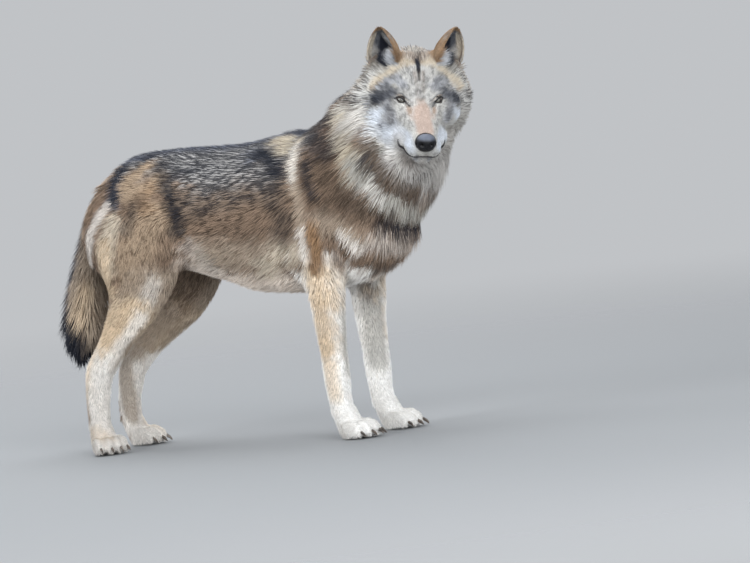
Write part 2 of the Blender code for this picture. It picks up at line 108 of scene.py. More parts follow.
def cloud(points: np.ndarray, size: float, seed: int) -> np.ndarray:
    """Smooth random swells through space, from -1 to 1.

    Args:
        points: places, in metres.
        size: how far apart the swells lie, in metres.
        seed: picks one pattern of swells.

    Returns:
        One number for each place.
    """
    grid = points / size + GRID_SHIFT
    cell = np.floor(grid).astype(np.int64)
    part = grid - cell
    part = part * part * (3.0 - 2.0 * part)
    total = np.zeros(len(points))
    for corner in range(8):
        step = np.array([corner & 1, corner >> 1 & 1, corner >> 2 & 1])
        height = scrambled(cell + step, seed) * 2.0 - 1.0
        total += height * np.where(step, part, 1.0 - part).prod(1)
    return total


def scrambled(cells: np.ndarray, seed: int) -> np.ndarray:
    """A random number for each cell of space, the same one every time.

    The cell's numbers are multiplied by large primes and their bits folded.

    Args:
        cells: whole numbers, three for each cell.
        seed: picks one set of numbers.

    Returns:
        One number from 0 to 1 for each cell.
    """
    key = cells @ np.array([73856093, 19349663, 83492791])
    key = (key ^ (seed * 2654435761)) & 0x7FFFFFFF
    key = ((key ^ (key >> 13)) * 1274126177) & 0x7FFFFFFF
    key = ((key ^ (key >> 15)) * 668265263) & 0x7FFFFFFF
    return ((key >> 7) & 0xFFFF) / 65535.0


def locks(points: np.ndarray, size: float, seed: int) -> tuple[np.ndarray, np.ndarray]:
    """Gathers places into locks, spots scattered through space.

    Args:
        points: places, in metres.
        size: how far apart the locks stand, in metres.
        seed: picks one scatter.

    Returns:
        The way from each place to its lock's middle, and one random number
        for each place that its whole lock shares.
    """
    grid = points / size + GRID_SHIFT
    cell = np.floor(grid).astype(np.int64)
    best = np.full(len(points), FAR)
    to_middle = np.zeros_like(points)
    number = np.zeros(len(points))
    for k in range(27):
        own = cell + np.array([k % 3, k // 3 % 3, k // 9]) - 1
        spot = own + np.stack([scrambled(own, seed + i) for i in range(3)], 1)
        gap = ((spot - grid) ** 2).sum(1)
        near = gap < best
        best = np.where(near, gap, best)
        to_middle = np.where(near[:, None], (spot - grid) * size, to_middle)
        number = np.where(near, scrambled(own, seed + 3), number)
    return to_middle, number


def new_mesh(
    name: str, points: np.ndarray, triangles: np.ndarray, smooth: bool = True
) -> bpy.types.Object:
    """Makes a piece from arrays and puts it in the scene.

    Args:
        name: the piece's name.
        points: its corners, one row each.
        triangles: its faces, three corner numbers each.
        smooth: whether it is shaded smooth.

    Returns:
        The new piece.
    """
    data = bpy.data.meshes.new(name)
    data.vertices.add(len(points))
    data.vertices.foreach_set("co", np.asarray(points, np.float32).ravel())
    data.loops.add(triangles.size)
    data.loops.foreach_set("vertex_index", triangles.astype(np.int32).ravel())
    data.polygons.add(len(triangles))
    data.polygons.foreach_set("loop_start", np.arange(0, triangles.size, 3, dtype=np.int32))
    data.polygons.foreach_set("use_smooth", np.full(len(triangles), smooth))
    data.update(calc_edges=True)
    data.validate()
    piece = bpy.data.objects.new(name, data)
    bpy.context.scene.collection.objects.link(piece)
    return piece


def discard(piece: bpy.types.Object) -> None:
    """Removes a working piece, which goes when its mesh does."""
    bpy.data.meshes.remove(piece.data)


def set_paint(piece: bpy.types.Object, colours: np.ndarray) -> None:
    """Stores one colour for each corner of a piece.

    Args:
        piece: the piece to paint.
        colours: red, green and blue rows, one for each corner.
    """
    layer = piece.data.color_attributes.new(COAT_PAINT, "FLOAT_COLOR", "POINT")
    rgba = np.ones((len(colours), 4), np.float32)
    rgba[:, :3] = np.clip(colours, 0.0, 1.0)
    layer.data.foreach_set("color", rgba.ravel())


def arrays_of(data: bpy.types.Mesh) -> Surface:
    """Reads a mesh as arrays.

    Args:
        data: the mesh.

    Returns:
        Its corners and its triangles.
    """
    points = np.zeros(len(data.vertices) * 3, np.float32)
    data.vertices.foreach_get("co", points)
    data.calc_loop_triangles()
    triangles = np.zeros(len(data.loop_triangles) * 3, np.int32)
    data.loop_triangles.foreach_get("vertices", triangles)
    return points.reshape(-1, 3).astype(float), triangles.reshape(-1, 3)


def face_areas(points: np.ndarray, triangles: np.ndarray) -> tuple[np.ndarray, np.ndarray]:
    """Measures triangles.

    Args:
        points: corners.
        triangles: corner numbers.

    Returns:
        Each face's area, and its outward direction times twice the area.
    """
    a, b, c = (points[triangles[:, i]] for i in range(3))
    normal = np.cross(b - a, c - a)
    return np.linalg.norm(normal, axis=1) / 2.0, normal


def corner_normals(points: np.ndarray, triangles: np.ndarray) -> np.ndarray:
    """The outward direction at every corner.

    Args:
        points: corners.
        triangles: corner numbers.

    Returns:
        Unit directions.
    """
    normal = face_areas(points, triangles)[1]
    total = np.zeros_like(points)
    for axis in range(3):
        for i in range(3):
            total[:, axis] += np.bincount(triangles[:, i], normal[:, axis], minlength=len(points))
    return unit(total)


def tube(path: np.ndarray, radii: np.ndarray, sides: int = 10, up: Triple = (0, 0, 1)) -> Surface:
    """A closed round rod along a path, with a point at each end.

    At each station a circle of the radius there stands square to the path.

    Args:
        path: the middle line, one row for each station.
        radii: the rod's radius at each station.
        sides: how many sides it has.
        up: a direction that the path never follows.

    Returns:
        Its corners and triangles.
    """
    way = unit(np.gradient(path, axis=0))
    side = unit(np.cross(way, np.array(up, float)))
    rise = np.cross(side, way)
    angle = np.linspace(0.0, 2.0 * math.pi, sides, endpoint=False)
    ring = (
        path[:, None]
        + side[:, None] * (np.cos(angle)[:, None] * radii[:, None, None])
        + rise[:, None] * (np.sin(angle)[:, None] * radii[:, None, None])
    )
    count = len(path)
    points = np.concatenate([ring.reshape(-1, 3), path[:1], path[-1:]])
    return points, closed_rings(count, sides)


def closed_rings(count: int, sides: int) -> np.ndarray:
    """The triangles of a stack of rings with a fan at each end.

    Args:
        count: how many rings there are; two end points follow them.
        sides: how many corners a ring has.

    Returns:
        The triangles, facing outward for rings that run counter-clockwise
        as seen from the far end.
    """
    k, i = np.meshgrid(np.arange(count - 1), np.arange(sides), indexing="ij")
    a, b = k * sides + i, k * sides + (i + 1) % sides
    c, d = a + sides, b + sides
    walls = np.concatenate(
        [np.stack([a, b, d], -1).reshape(-1, 3), np.stack([a, d, c], -1).reshape(-1, 3)]
    )
    i = np.arange(sides)
    j = (i + 1) % sides
    start, end, last = count * sides, count * sides + 1, (count - 1) * sides
    first_cap = np.stack([np.full(sides, start), j, i], -1)
    last_cap = np.stack([np.full(sides, end), last + i, last + j], -1)
    return np.concatenate([walls, first_cap, last_cap])


def ball_angles(rings: int, sides: int) -> tuple[np.ndarray, np.ndarray]:
    """The angles of a ball's corners: rings from pole to pole, then the two poles.

    Args:
        rings: how many rings there are between the poles.
        sides: how many corners a ring has.

    Returns:
        Each corner's angle from the first pole, and its angle round the axis.
    """
    polar = np.linspace(0.0, math.pi, rings + 2)[1:-1]
    turn = np.linspace(0.0, 2.0 * math.pi, sides, endpoint=False)
    p, a = (g.ravel() for g in np.meshgrid(polar, turn, indexing="ij"))
    return np.concatenate([p, [0.0, math.pi]]), np.concatenate([a, [0.0, 0.0]])


def faced_outward(points: np.ndarray, triangles: np.ndarray) -> np.ndarray:
    """Turns a closed piece's faces outward.

    Args:
        points: corners.
        triangles: corner numbers.

    Returns:
        The triangles, turned over if the piece's volume came out negative.
    """
    a, b, c = (points[triangles[:, i]] for i in range(3))
    volume = dot(a, np.cross(b, c)).sum()
    return triangles if volume > 0 else triangles[:, ::-1]


# ---- the frame


@dataclass(frozen=True)
class Place:
    """A part's own axes: where its middle is, and how it is turned."""

    at: Triple
    turn: Triple  # degrees about Z, Y and X

    def matrix(self) -> np.ndarray:
        """The step from the part's axes to the wolf's.

        Returns:
            A 4 by 4 matrix.
        """
        z, y, x = (math.radians(a) for a in self.turn)
        turned = Matrix.Rotation(z, 4, "Z") @ Matrix.Rotation(y, 4, "Y") @ Matrix.Rotation(x, 4, "X")
        return np.array(Matrix.Translation(self.at) @ turned)

    def out(self, points: np.ndarray) -> np.ndarray:
        """From the part's axes to the wolf's."""
        m = self.matrix()
        return np.asarray(points, float) @ m[:3, :3].T + m[:3, 3]

    def back(self, points: np.ndarray) -> np.ndarray:
        """From the wolf's axes to the part's."""
        m = self.matrix()
        return (np.asarray(points, float) - m[:3, 3]) @ m[:3, :3]

    def turned(self, ways: np.ndarray) -> np.ndarray:
        """Turns directions from the part's axes to the wolf's."""
        return np.asarray(ways, float) @ self.matrix()[:3, :3].T


HEAD = Place(at=(0.538, -0.0602, 0.795), turn=(-51.4, 29.9, -8.2))


class Axes(Enum):
    """Whose axes a line is given in."""

    BODY = "body"
    HEAD = "head"


def both_sides(points: np.ndarray, axes: Axes) -> list[np.ndarray]:
    """A line on the right side and its twin on the left, in the wolf's axes.

    Args:
        points: the line, in the named axes, where y tells left from right.
        axes: whose axes those are.

    Returns:
        One line if it runs down the middle, and otherwise two.
    """
    flip = np.array([1.0, -1.0, 1.0])
    lines = [points] if np.abs(points[:, 1]).max() < 1e-6 else [points, points * flip]
    return [HEAD.out(p) if axes is Axes.HEAD else p for p in lines]


# ---- how the coat lies


@dataclass(frozen=True)
class Stream:
    """A line that the coat follows: x, y, z, coat depth and hair length, in millimetres."""

    stations: tuple[tuple[float, ...], ...]
    axes: Axes = Axes.BODY


STREAMS = (
    # body: nape and back, sides, shoulder, flank, thigh, chest, belly, legs, tail
    Stream(((450, -30, 872, 30, 65), (370, -5, 835, 38, 80), (280, 0, 785, 34, 75),
        (180, 0, 745, 26, 58), (0, 0, 725, 20, 46), (-200, 0, 722, 18, 42), (-330, 0, 708, 17, 40),
        (-410, 0, 670, 20, 42))),
    Stream(((430, -100, 800, 34, 75), (330, -125, 730, 38, 80), (220, -122, 665, 24, 52),
        (100, -125, 640, 18, 44), (-50, -118, 620, 16, 40), (-200, -112, 615, 15, 36),
        (-300, -125, 600, 13, 32), (-380, -115, 560, 13, 32))),
    Stream(((445, -115, 700, 36, 75), (370, -135, 625, 34, 72), (290, -140, 555, 22, 48),
        (250, -138, 470, 14, 32), (232, -110, 380, 9, 20))),
    Stream(((200, -138, 570, 20, 46), (130, -138, 505, 18, 46), (50, -122, 450, 20, 50),
        (-50, -100, 412, 17, 44))),
    Stream(((0, -125, 560, 17, 40), (-110, -120, 520, 15, 36), (-190, -115, 475, 13, 34))),
    Stream(((-270, -125, 610, 14, 32), (-290, -150, 510, 12, 27), (-315, -130, 405, 8, 19),
        (-400, -108, 320, 6, 14), (-475, -92, 235, 5, 12), (-475, -90, 130, 4, 10),
        (-460, -95, 85, 4, 9))),
    Stream(((-195, -125, 540, 13, 32), (-210, -125, 450, 12, 30), (-270, -110, 365, 8, 20))),
    Stream(((-420, -60, 640, 20, 44), (-440, -95, 545, 17, 40), (-400, -118, 430, 10, 25))),
    Stream(((505, -30, 665, 36, 75), (475, -30, 585, 40, 85), (435, -20, 500, 34, 75),
        (360, 0, 430, 24, 60), (270, 0, 392, 16, 44))),
    Stream(((190, -120, 430, 20, 50), (130, -112, 405, 22, 58), (70, -95, 372, 22, 62))),
    Stream(((60, -118, 432, 18, 48), (10, -100, 408, 20, 56), (-50, -80, 380, 18, 54))),
    Stream(((200, 0, 378, 16, 42), (50, 0, 388, 18, 50), (-90, 0, 398, 15, 46),
        (-170, 0, 430, 10, 30))),
    Stream(((235, -88, 350, 8, 18), (235, -88, 240, 6, 13), (243, -86, 140, 5, 11),
        (250, -86, 85, 4, 9))),
    Stream(((250, -88, 75, 4, 8), (290, -90, 52, 3, 7), (325, -92, 25, 3, 7))),
    Stream(((-460, -98, 75, 4, 8), (-430, -104, 50, 3, 7), (-405, -112, 25, 3, 7))),
    Stream(((-425, 0, 640, 20, 42), (-465, 0, 560, 28, 55), (-510, 0, 450, 32, 62),
        (-550, 0, 350, 32, 64), (-580, 0, 280, 22, 56), (-590, 0, 245, 13, 48))),
    # head: bridge to nape, brow, muzzle, under the eye, lip, chin, ears
    Stream(((125, 0, -20, 0.6, 3.5), (60, 0, -8, 1, 5), (20, 0, 5, 1.4, 7), (-20, 0, 33, 2, 10),
        (-70, 0, 55, 3, 14), (-125, 0, 56, 8, 26), (-180, 0, 30, 20, 48)), Axes.HEAD),
    Stream(((35, 18, 0, 1, 5), (5, 34, 18, 1.4, 7), (-30, 56, 28, 2, 11), (-75, 84, 22, 5, 18),
        (-120, 110, -5, 14, 36)), Axes.HEAD),
    Stream(((115, 25, -55, 0.7, 4), (80, 34, -52, 1, 5), (40, 48, -45, 1.6, 8), (5, 72, -36, 3, 13),
        (-40, 104, -36, 8, 27), (-90, 132, -50, 18, 46)), Axes.HEAD),
    Stream(((30, 28, -14, 1, 5), (12, 50, -26, 1.5, 7), (-20, 78, -16, 2.5, 12),
        (-60, 106, -14, 8, 26)), Axes.HEAD),
    Stream(((110, 28, -84, 0.7, 4), (60, 52, -88, 1.5, 8), (15, 78, -100, 5, 20),
        (-30, 104, -122, 15, 40), (-70, 112, -175, 26, 60)), Axes.HEAD),
    Stream(((118, 0, -98, 0.8, 4.5), (75, 10, -128, 3, 12), (25, 10, -158, 12, 32),
        (-15, 5, -200, 26, 60)), Axes.HEAD),
    Stream(((-112, 68, 35, 0.9, 8), (-116, 80, 75, 0.7, 7), (-108, 94, 120, 0.6, 6)), Axes.HEAD),
    Stream(((-82, 48, 56, 0.9, 8), (-88, 62, 88, 0.7, 7), (-104, 92, 122, 0.6, 6)), Axes.HEAD),
    Stream(((-100, 108, 30, 1.5, 10), (-108, 110, 70, 0.7, 7), (-108, 98, 118, 0.6, 6)), Axes.HEAD),
)


@dataclass
class Lie:
    """How the coat lies, how deep it is and how long its hair is, anywhere on the wolf."""

    streams: tuple[Stream, ...]
    ears: list["Ear"]
    step: float = 0.03  # from one signpost to the next
    soft: float = 0.012  # nearer than this, signposts blend
    on_ears: Pair = (0.8, 7.5)  # coat depth and hair length there, in mm
    batch: int = 20000  # places read at a time, to save memory

    def __post_init__(self) -> None:
        """Spreads signposts along every stream, on both sides."""
        places, ways, sizes = [], [], []
        for stream in self.streams:
            rows = np.array(stream.stations, float) * MM
            for line in both_sides(rows[:, :3], stream.axes):
                for k in range(len(line) - 1):
                    a, b = line[k], line[k + 1]
                    count = max(1, int(np.linalg.norm(b - a) / self.step))
                    for t in (np.arange(count) + 0.5) / count:
                        places.append(a + (b - a) * t)
                        ways.append(b - a)
                        sizes.append(rows[k, 3:] * (1 - t) + rows[k + 1, 3:] * t)
        self.places = np.array(places)
        self.ways = unit(np.array(ways))
        self.sizes = np.array(sizes)

    def at(self, points: np.ndarray) -> tuple[np.ndarray, np.ndarray, np.ndarray]:
        """Reads the signposts: the nearest ones count most, by the fourth power of distance.

        Args:
            points: places on the skin.

        Returns:
            The coat's direction, its depth and its hair's length at each place.
        """
        way = np.zeros_like(points)
        size = np.zeros((len(points), 2))
        for start in range(0, len(points), self.batch):
            rows = slice(start, start + self.batch)
            part = points[rows]
            squares = (part**2).sum(1)[:, None] + (self.places**2).sum(1)[None]
            gap = squares - 2.0 * part @ self.places.T
            weight = 1.0 / (np.maximum(gap, 0.0) + self.soft**2) ** 2
            weight /= weight.sum(1, keepdims=True)
            way[rows] = weight @ self.ways
            size[rows] = weight @ self.sizes
        for ear in self.ears:
            size = mixed(size, np.array(self.on_ears) * MM, ear.blade(points))
        return unit(way), size[:, 0], size[:, 1]


# ---- markings


@dataclass(frozen=True)
class Shade:
    """A coat colour: the hair's middle, its tips, and how many hairs have those tips."""

    middle: Triple
    tips: Triple
    share: float

    def row(self) -> np.ndarray:
        """The shade as one row."""
        return np.array([*self.middle, *self.tips, self.share])


INK = (0.012, 0.014, 0.022)
UMBER = (0.06, 0.042, 0.03)

SADDLE = Shade((0.34, 0.33, 0.325), INK, 0.77)
GRIZZLE = Shade((0.24, 0.185, 0.145), INK, 0.55)
RIDGE = Shade((0.10, 0.108, 0.14), INK, 0.75)
BLACK = Shade((0.022, 0.025, 0.036), INK, 0.9)
DUSK = Shade((0.078, 0.064, 0.055), INK, 0.6)
BARK = Shade((0.125, 0.092, 0.070), UMBER, 0.4)
BROWN = Shade((0.20, 0.14, 0.10), UMBER, 0.40)
FLANK = Shade((0.24, 0.168, 0.12), UMBER, 0.28)
SAND = Shade((0.36, 0.29, 0.225), (0.20, 0.15, 0.11), 0.16)
BELLY = Shade((0.74, 0.65, 0.57), (0.48, 0.40, 0.33), 0.1)
CREAM = Shade((0.54, 0.47, 0.38), (0.28, 0.22, 0.16), 0.10)
BROW = Shade((0.58, 0.51, 0.41), (0.34, 0.27, 0.20), 0.10)
MANE = Shade((0.44, 0.385, 0.30), (0.20, 0.155, 0.11), 0.12)
PALE = Shade((0.40, 0.385, 0.35), (0.20, 0.18, 0.16), 0.14)
TAN = Shade((0.36, 0.27, 0.19), (0.15, 0.10, 0.065), 0.14)
ORANGE = Shade((0.27, 0.165, 0.09), (0.14, 0.08, 0.045), 0.12)
WHITE = Shade((0.86, 0.83, 0.79), (0.66, 0.60, 0.55), 0.06)
SNOW = Shade((0.56, 0.59, 0.64), (0.42, 0.44, 0.48), 0.08)
SHIN = Shade((0.66, 0.52, 0.365), (0.44, 0.32, 0.21), 0.10)
ASH = Shade((0.56, 0.55, 0.53), (0.035, 0.035, 0.04), 0.40)
SLATE = Shade((0.38, 0.39, 0.42), INK, 0.46)
SHADOW = Shade((0.155, 0.16, 0.178), INK, 0.66)
THROAT = Shade((0.44, 0.42, 0.40), (0.24, 0.22, 0.20), 0.14)
# The paws' pale fur, made brighter than WHITE as painted light where they face the front.
LIT_PAW = Shade((0.95, 0.93, 0.90), (0.76, 0.71, 0.66), 0.05)
ROSE = Shade((0.50, 0.395, 0.34), (0.34, 0.25, 0.20), 0.10)
EARTH = Shade((0.30, 0.20, 0.125), (0.12, 0.07, 0.05), 0.2)


@dataclass(frozen=True)
class Mark:
    """One marking: a shade laid along a line, in millimetres.

    It is whole out to a share of its reach, and has faded out at its reach.
    """

    shade: Shade
    line: tuple[Triple, ...]
    reach: float
    strength: float = 1.0
    whole: float = 0.2
    ragged: float = 0.5
    axes: Axes = Axes.BODY


# A marking whose line is given in the head's axes.
on_head = partial(Mark, axes=Axes.HEAD)

MARKS = (
    # trunk: belly, low flank, saddle and back
    Mark(BELLY, ((250, 0, 375), (50, 0, 385), (-100, 0, 395), (-190, 0, 420)), 138, whole=0.5),
    Mark(SAND, ((190, -132, 450), (60, -122, 455), (-20, -118, 460), (-100, -105, 465)), 62),
    Mark(CREAM, ((175, -140, 455), (120, -130, 452), (70, -112, 415)), 48, 0.95),
    Mark(DUSK, ((135, -142, 590), (165, -145, 545), (155, -142, 505)), 48, 0.5),
    Mark(DUSK, ((-80, -126, 570), (-130, -122, 560)), 34, 0.3),
    Mark(GRIZZLE, ((150, -135, 620), (20, -125, 610), (-90, -118, 605),
        (-150, -115, 600)), 62, 0.75, whole=0.1),
    Mark(GRIZZLE, ((-30, -124, 600), (-100, -120, 590)), 40, 0.3),
    Mark(SADDLE, ((180, -60, 730), (60, -70, 715), (-100, -75, 705), (-200, -60, 705),
        (-300, -30, 705)), 118, whole=0.3),
    Mark(SADDLE, ((130, -125, 655), (20, -120, 655), (-90, -110, 655)), 56, 0.75),
    Mark(RIDGE, ((200, 0, 738), (0, 0, 722), (-200, 0, 722), (-330, 0, 708), (-400, -10, 672)), 66),
    Mark(RIDGE, ((140, -80, 705), (60, -85, 695)), 50, 0.8),
    Mark(BLACK, ((-105, -98, 682), (-150, -100, 668), (-185, -104, 655)), 27, 0.6),
    Mark(BLACK, ((84, -90, 700), (118, -103, 688), (148, -125, 652)), 30, 0.9),
    Mark(MANE, ((110, -62, 722), (145, -62, 728), (150, -88, 706)), 34, 0.95),
    # shoulder
    Mark(DUSK, ((440, -20, 868), (370, -10, 830), (290, -20, 785), (235, -40, 750)), 85),
    Mark(BROWN, ((302, -145, 644), (321, -145, 600), (335, -140, 565), (290, -138, 530)), 66),
    Mark(SAND, ((271, -138, 530), (315, -130, 505), (345, -120, 470)), 46, 0.85),
    Mark(FLANK, ((300, -118, 450), (285, -100, 425)), 30, 0.85),
    Mark(BLACK, ((275, -85, 765), (262, -118, 718), (290, -140, 690), (318, -142, 700)), 44, 0.65),
    Mark(BLACK, ((246, -138, 668), (249, -143, 620), (265, -145, 585)), 21, 0.8),
    Mark(CREAM, ((190, -75, 722), (196, -111, 686), (197, -128, 649), (204, -138, 611)), 29, 0.95),
    Mark(WHITE, ((192, -88, 712), (196, -111, 686), (197, -128, 649), (203, -137, 618)), 20, 0.7),
    Mark(SAND, ((204, -138, 611), (214, -147, 563), (216, -150, 516)), 27, 0.9),
    Mark(WHITE, ((217, -150, 505), (214, -149, 468), (211, -145, 436)), 22, 0.6),
    # neck and chest
    on_head(PALE, ((60, 0, -60), (-60, 0, -70)), 178, whole=0.85, ragged=0.1),
    Mark(THROAT, ((520, -80, 625), (500, -60, 600), (480, -20, 575)), 80),
    Mark(BROWN, ((500, -30, 560), (478, -10, 540), (470, -60, 545)), 27, 0.45),
    Mark(BARK, ((395, -140, 720), (423, -136, 665), (448, -122, 620), (462, -90, 572),
        (474, -50, 545)), 46, 0.95, whole=0.4),
    Mark(DUSK, ((397, -142, 690), (408, -140, 655), (420, -135, 625)), 16, 0.8),
    Mark(MANE, ((338, -108, 795), (350, -128, 758), (355, -140, 712), (366, -146, 672),
        (382, -142, 636)), 44, whole=0.45),
    Mark(PALE, ((375, -143, 650), (392, -136, 612), (415, -115, 572), (442, -66, 524),
        (455, 0, 505)), 36),
    Mark(WHITE, ((400, -128, 592), (420, -106, 562)), 22, 0.5),
    Mark(WHITE, ((318, -122, 480), (340, -112, 458)), 30, 0.8),
    Mark(WHITE, ((350, -108, 460), (372, -94, 459), (404, -62, 452), (410, 0, 440)), 30, 0.35),
    Mark(BARK, ((345, -138, 580), (381, -116, 535), (405, -90, 503), (432, -44, 478),
        (442, 0, 478)), 32, 0.7),
    Mark(BLACK, ((402, -90, 498), (420, -66, 486), (434, -30, 476), (438, 0, 475)), 27, 0.9),
    Mark(DUSK, ((375, 0, 405), (345, -29, 390), (310, -40, 380)), 34, 0.5),
    # haunch and hind leg
    Mark(TAN, ((-225, -140, 560), (-255, -152, 510), (-300, -150, 470), (-290, -140, 410)), 85),
    Mark(SAND, ((-250, -95, 385), (-340, -88, 310), (-430, -85, 250),
        (-480, -85, 200)), 98, whole=0.65, ragged=0.2),
    Mark(CREAM, ((-333, -151, 562), (-350, -154, 515), (-370, -146, 452)), 46, 0.95),
    Mark(SHIN, ((-356, -154, 505), (-374, -146, 450), (-372, -140, 400)), 38, 0.65),
    Mark(TAN, ((-258, -80, 690), (-288, -106, 664), (-300, -125, 632), (-240, -116, 638),
        (-214, -104, 658)), 42),
    Mark(ORANGE, ((-230, -118, 640), (-250, -128, 615), (-240, -130, 580)), 30, 0.5),
    Mark(DUSK, ((-251, -128, 617), (-262, -140, 598), (-276, -149, 565), (-288, -154, 542)), 27, 0.45),
    Mark(RIDGE, ((-263, -50, 712), (-325, -48, 706), (-341, -82, 682), (-341, -112, 648),
        (-326, -138, 607)), 27, 0.95),
    Mark(BLACK, ((-335, -70, 690), (-341, -108, 652), (-330, -132, 615)), 18, 0.7),
    # The fold between thigh and flank: dark fur, deepened as painted shade in the fold.
    Mark(DUSK, ((-213, -85, 688), (-184, -113, 640), (-171, -121, 597), (-161, -122, 557),
        (-160, -120, 530)), 36, 0.75),
    Mark(BLACK, ((-174, -119, 612), (-166, -122, 580), (-160, -122, 545)), 15, 0.6),
    Mark(WHITE, ((-100, -85, 430), (-118, -104, 463), (-138, -110, 485)), 44, 0.22),
    Mark(DUSK, ((-400, -40, 655), (-425, -75, 600), (-440, -70, 540)), 34, 0.8),
    Mark(WHITE, ((-352, -136, 600), (-376, -142, 578), (-402, -140, 546), (-418, -134, 500),
        (-430, -115, 462)), 25, 0.6),
    Mark(BROWN, ((-195, -130, 468), (-201, -132, 446)), 26, 0.6),
    Mark(WHITE, ((-236, -140, 404), (-248, -140, 392), (-294, -129, 326)), 36, 0.42),
    # The inner thigh: browner fur, darkened further as painted shade.
    Mark(BROWN, ((-200, -60, 470), (-250, -62, 410),
        (-320, -66, 340)), 56, 0.75, whole=0.4, ragged=0.15),
    Mark(SHIN, ((-310, -118, 345), (-380, -112, 300),
        (-470, -100, 235)), 66, 0.85, whole=0.4, ragged=0.2),
    Mark(WHITE, ((-294, -129, 324), (-345, -126, 275), (-397, -119, 231),
        (-440, -112, 190)), 34, 0.7, ragged=0.3),
    Mark(WHITE, ((-480, -90, 200), (-475, -90, 120), (-440, -100, 20)), 100, 0.85, whole=0.6),
    Mark(SHIN, ((-395, -138, 335), (-450, -120, 275), (-490, -108, 215), (-505, -95, 150)), 36, 0.5),
    Mark(SHIN, ((-480, -110, 55), (-440, -120, 35)), 36, 0.35),
    # Inner faces of the shank and hock: painted shade, in darker sand.
    Mark(SAND, ((-340, -64, 320), (-400, -64, 280), (-450, -64, 235)), 40, 0.85, whole=0.4, ragged=0.2),
    Mark(SAND, ((-490, -58, 225), (-495, -60, 140), (-485, -62, 80)), 34, 0.7, whole=0.4, ragged=0.2),
    Mark(ORANGE, ((-470, -105, 330), (-518, -92, 250), (-514, -90, 160),
        (-504, -92, 90)), 29, 0.8, ragged=0.3),
    # fore leg
    Mark(WHITE, ((245, -80, 370), (240, -85, 220), (245, -85, 110), (300, -90, 20)), 105, whole=0.7),
    # the pale paws, brightened as painted light
    Mark(LIT_PAW, ((245, -85, 165), (248, -85, 90), (300, -90, 25)), 75),
    # Inner faces of the fore legs: painted shade, greyer and browner than the legs' white.
    Mark(PALE, ((256, -60, 410), (256, -58, 300), (252, -60, 170)), 44, 0.6, whole=0.4, ragged=0.2),
    Mark(BROWN, ((246, -54, 410), (248, -53, 330)), 34, 0.55),
    Mark(SHIN, ((222, -125, 400), (222, -118, 310), (222, -110, 220)), 50, 0.8),
    Mark(SHIN, ((222, -112, 230), (224, -108, 160), (228, -104, 110)), 34, 0.6),
    Mark(SHIN, ((240, -100, 400), (238, -100, 340)), 60, 0.8),
    Mark(ORANGE, ((240, -146, 505), (246, -143, 465), (243, -138, 432), (230, -139, 410)), 28, 0.95),
    Mark(FLANK, ((305, -120, 462), (292, -108, 434), (270, -80, 410)), 34, 0.8),
    # tail
    Mark(SAND, ((-430, 0, 620), (-510, 0, 440), (-560, 0, 330), (-575, 0, 265)), 105, whole=0.7),
    Mark(SAND, ((-470, -40, 460), (-505, -45, 370), (-540, -40, 320)), 55, 0.8),
    Mark(TAN, ((-500, -60, 400), (-535, -58, 330)), 40, 0.6),
    Mark(SHIN, ((-505, -40, 380), (-545, -38, 305)), 48, 0.5),
    Mark(RIDGE, ((-440, 0, 670), (-500, -14, 610), (-556, -20, 490), (-596, -24, 380),
        (-606, -26, 290)), 58),
    Mark(BLACK, ((-588, -10, 280), (-582, 0, 225)), 76, whole=0.55),
    # head: crown and forehead, cheeks, muzzle
    on_head(ASH, ((90, 0, -50), (40, 0, -40), (0, 0, -30)), 100),
    on_head(ASH, ((-20, 0, 30), (-70, 0, 50), (-130, 0, 50)), 105),
    on_head(ASH, ((-60, 100, 10), (-60, 140, -30), (-90, 150, -60)), 60, 0.9),
    # Under the jaw: grey painted shade over the pale throat.
    on_head(THROAT, ((50, 50, -140), (20, 60, -180), (10, 0, -180)), 75, 0.9),
    on_head(THROAT, ((-30, 150, -90), (-45, 150, -140), (-30, 120, -190)), 60, 0.8),
    on_head(BROWN, ((95, 0, -132), (70, 25, -134)), 30, 0.4),
    on_head(WHITE, ((-20, 150, -80), (0, 143, -88), (20, 133, -98), (45, 108, -110)), 36, 0.4),
    on_head(WHITE, ((22, 128, -92), (42, 106, -102), (62, 78, -108)), 32, 0.85),
    on_head(SNOW, ((50, 76, -90), (30, 96, -84), (12, 115, -72)), 36, 0.65),
    on_head(SLATE, ((-47, 98, 6), (-50, 76, 19), (-38, 54, 29), (-18, 41, 24)), 24, 0.8),
    on_head(BROW, ((-52, 118, -4), (-60, 104, 8), (-70, 84, 22), (-69, 57, 44), (-81, 33, 54),
        (-77, 16, 55)), 19, 0.95),
    on_head(SHADOW, ((-34, 131, -40), (-27, 110, -21), (-18, 87, -4), (-17, 71, 4)), 33),
    on_head(BLACK, ((-31, 120, -30), (-22, 98, -12)), 19, 0.6),
    on_head(SNOW, ((-22, 136, -46), (-6, 122, -48), (8, 105, -52)), 27, ragged=0.25),
    on_head(SLATE, ((8, 82, -20), (23, 72, -42), (37, 67, -58), (26, 86, -64)), 25, 0.85),
    on_head(DUSK, ((6, 72, -16), (18, 72, -36), (30, 70, -52)), 12, 0.3),
    on_head(SNOW, ((2, 94, -36), (-10, 100, -52), (-34, 108, -74)), 19, 0.95, ragged=0.3),
    on_head(SNOW, ((108, 34, -62), (82, 44, -58), (60, 56, -62), (44, 72, -74)), 32),
    on_head(SLATE, ((124, 14, -100), (108, 20, -108), (90, 34, -108)), 18, 0.7),
    # The chin below the lips: grey painted shade over its pale fur.
    on_head(THROAT, ((118, 0, -108), (98, 0, -118), (80, 20, -122)), 26, 0.85),
    on_head(DUSK, ((126, 12, -98), (112, 32, -97), (90, 44, -99)), 9, 0.6),
    on_head(ROSE, ((46, 0, -8), (75, 0, -16), (104, 0, -25)), 29, whole=0.5, ragged=0.15),
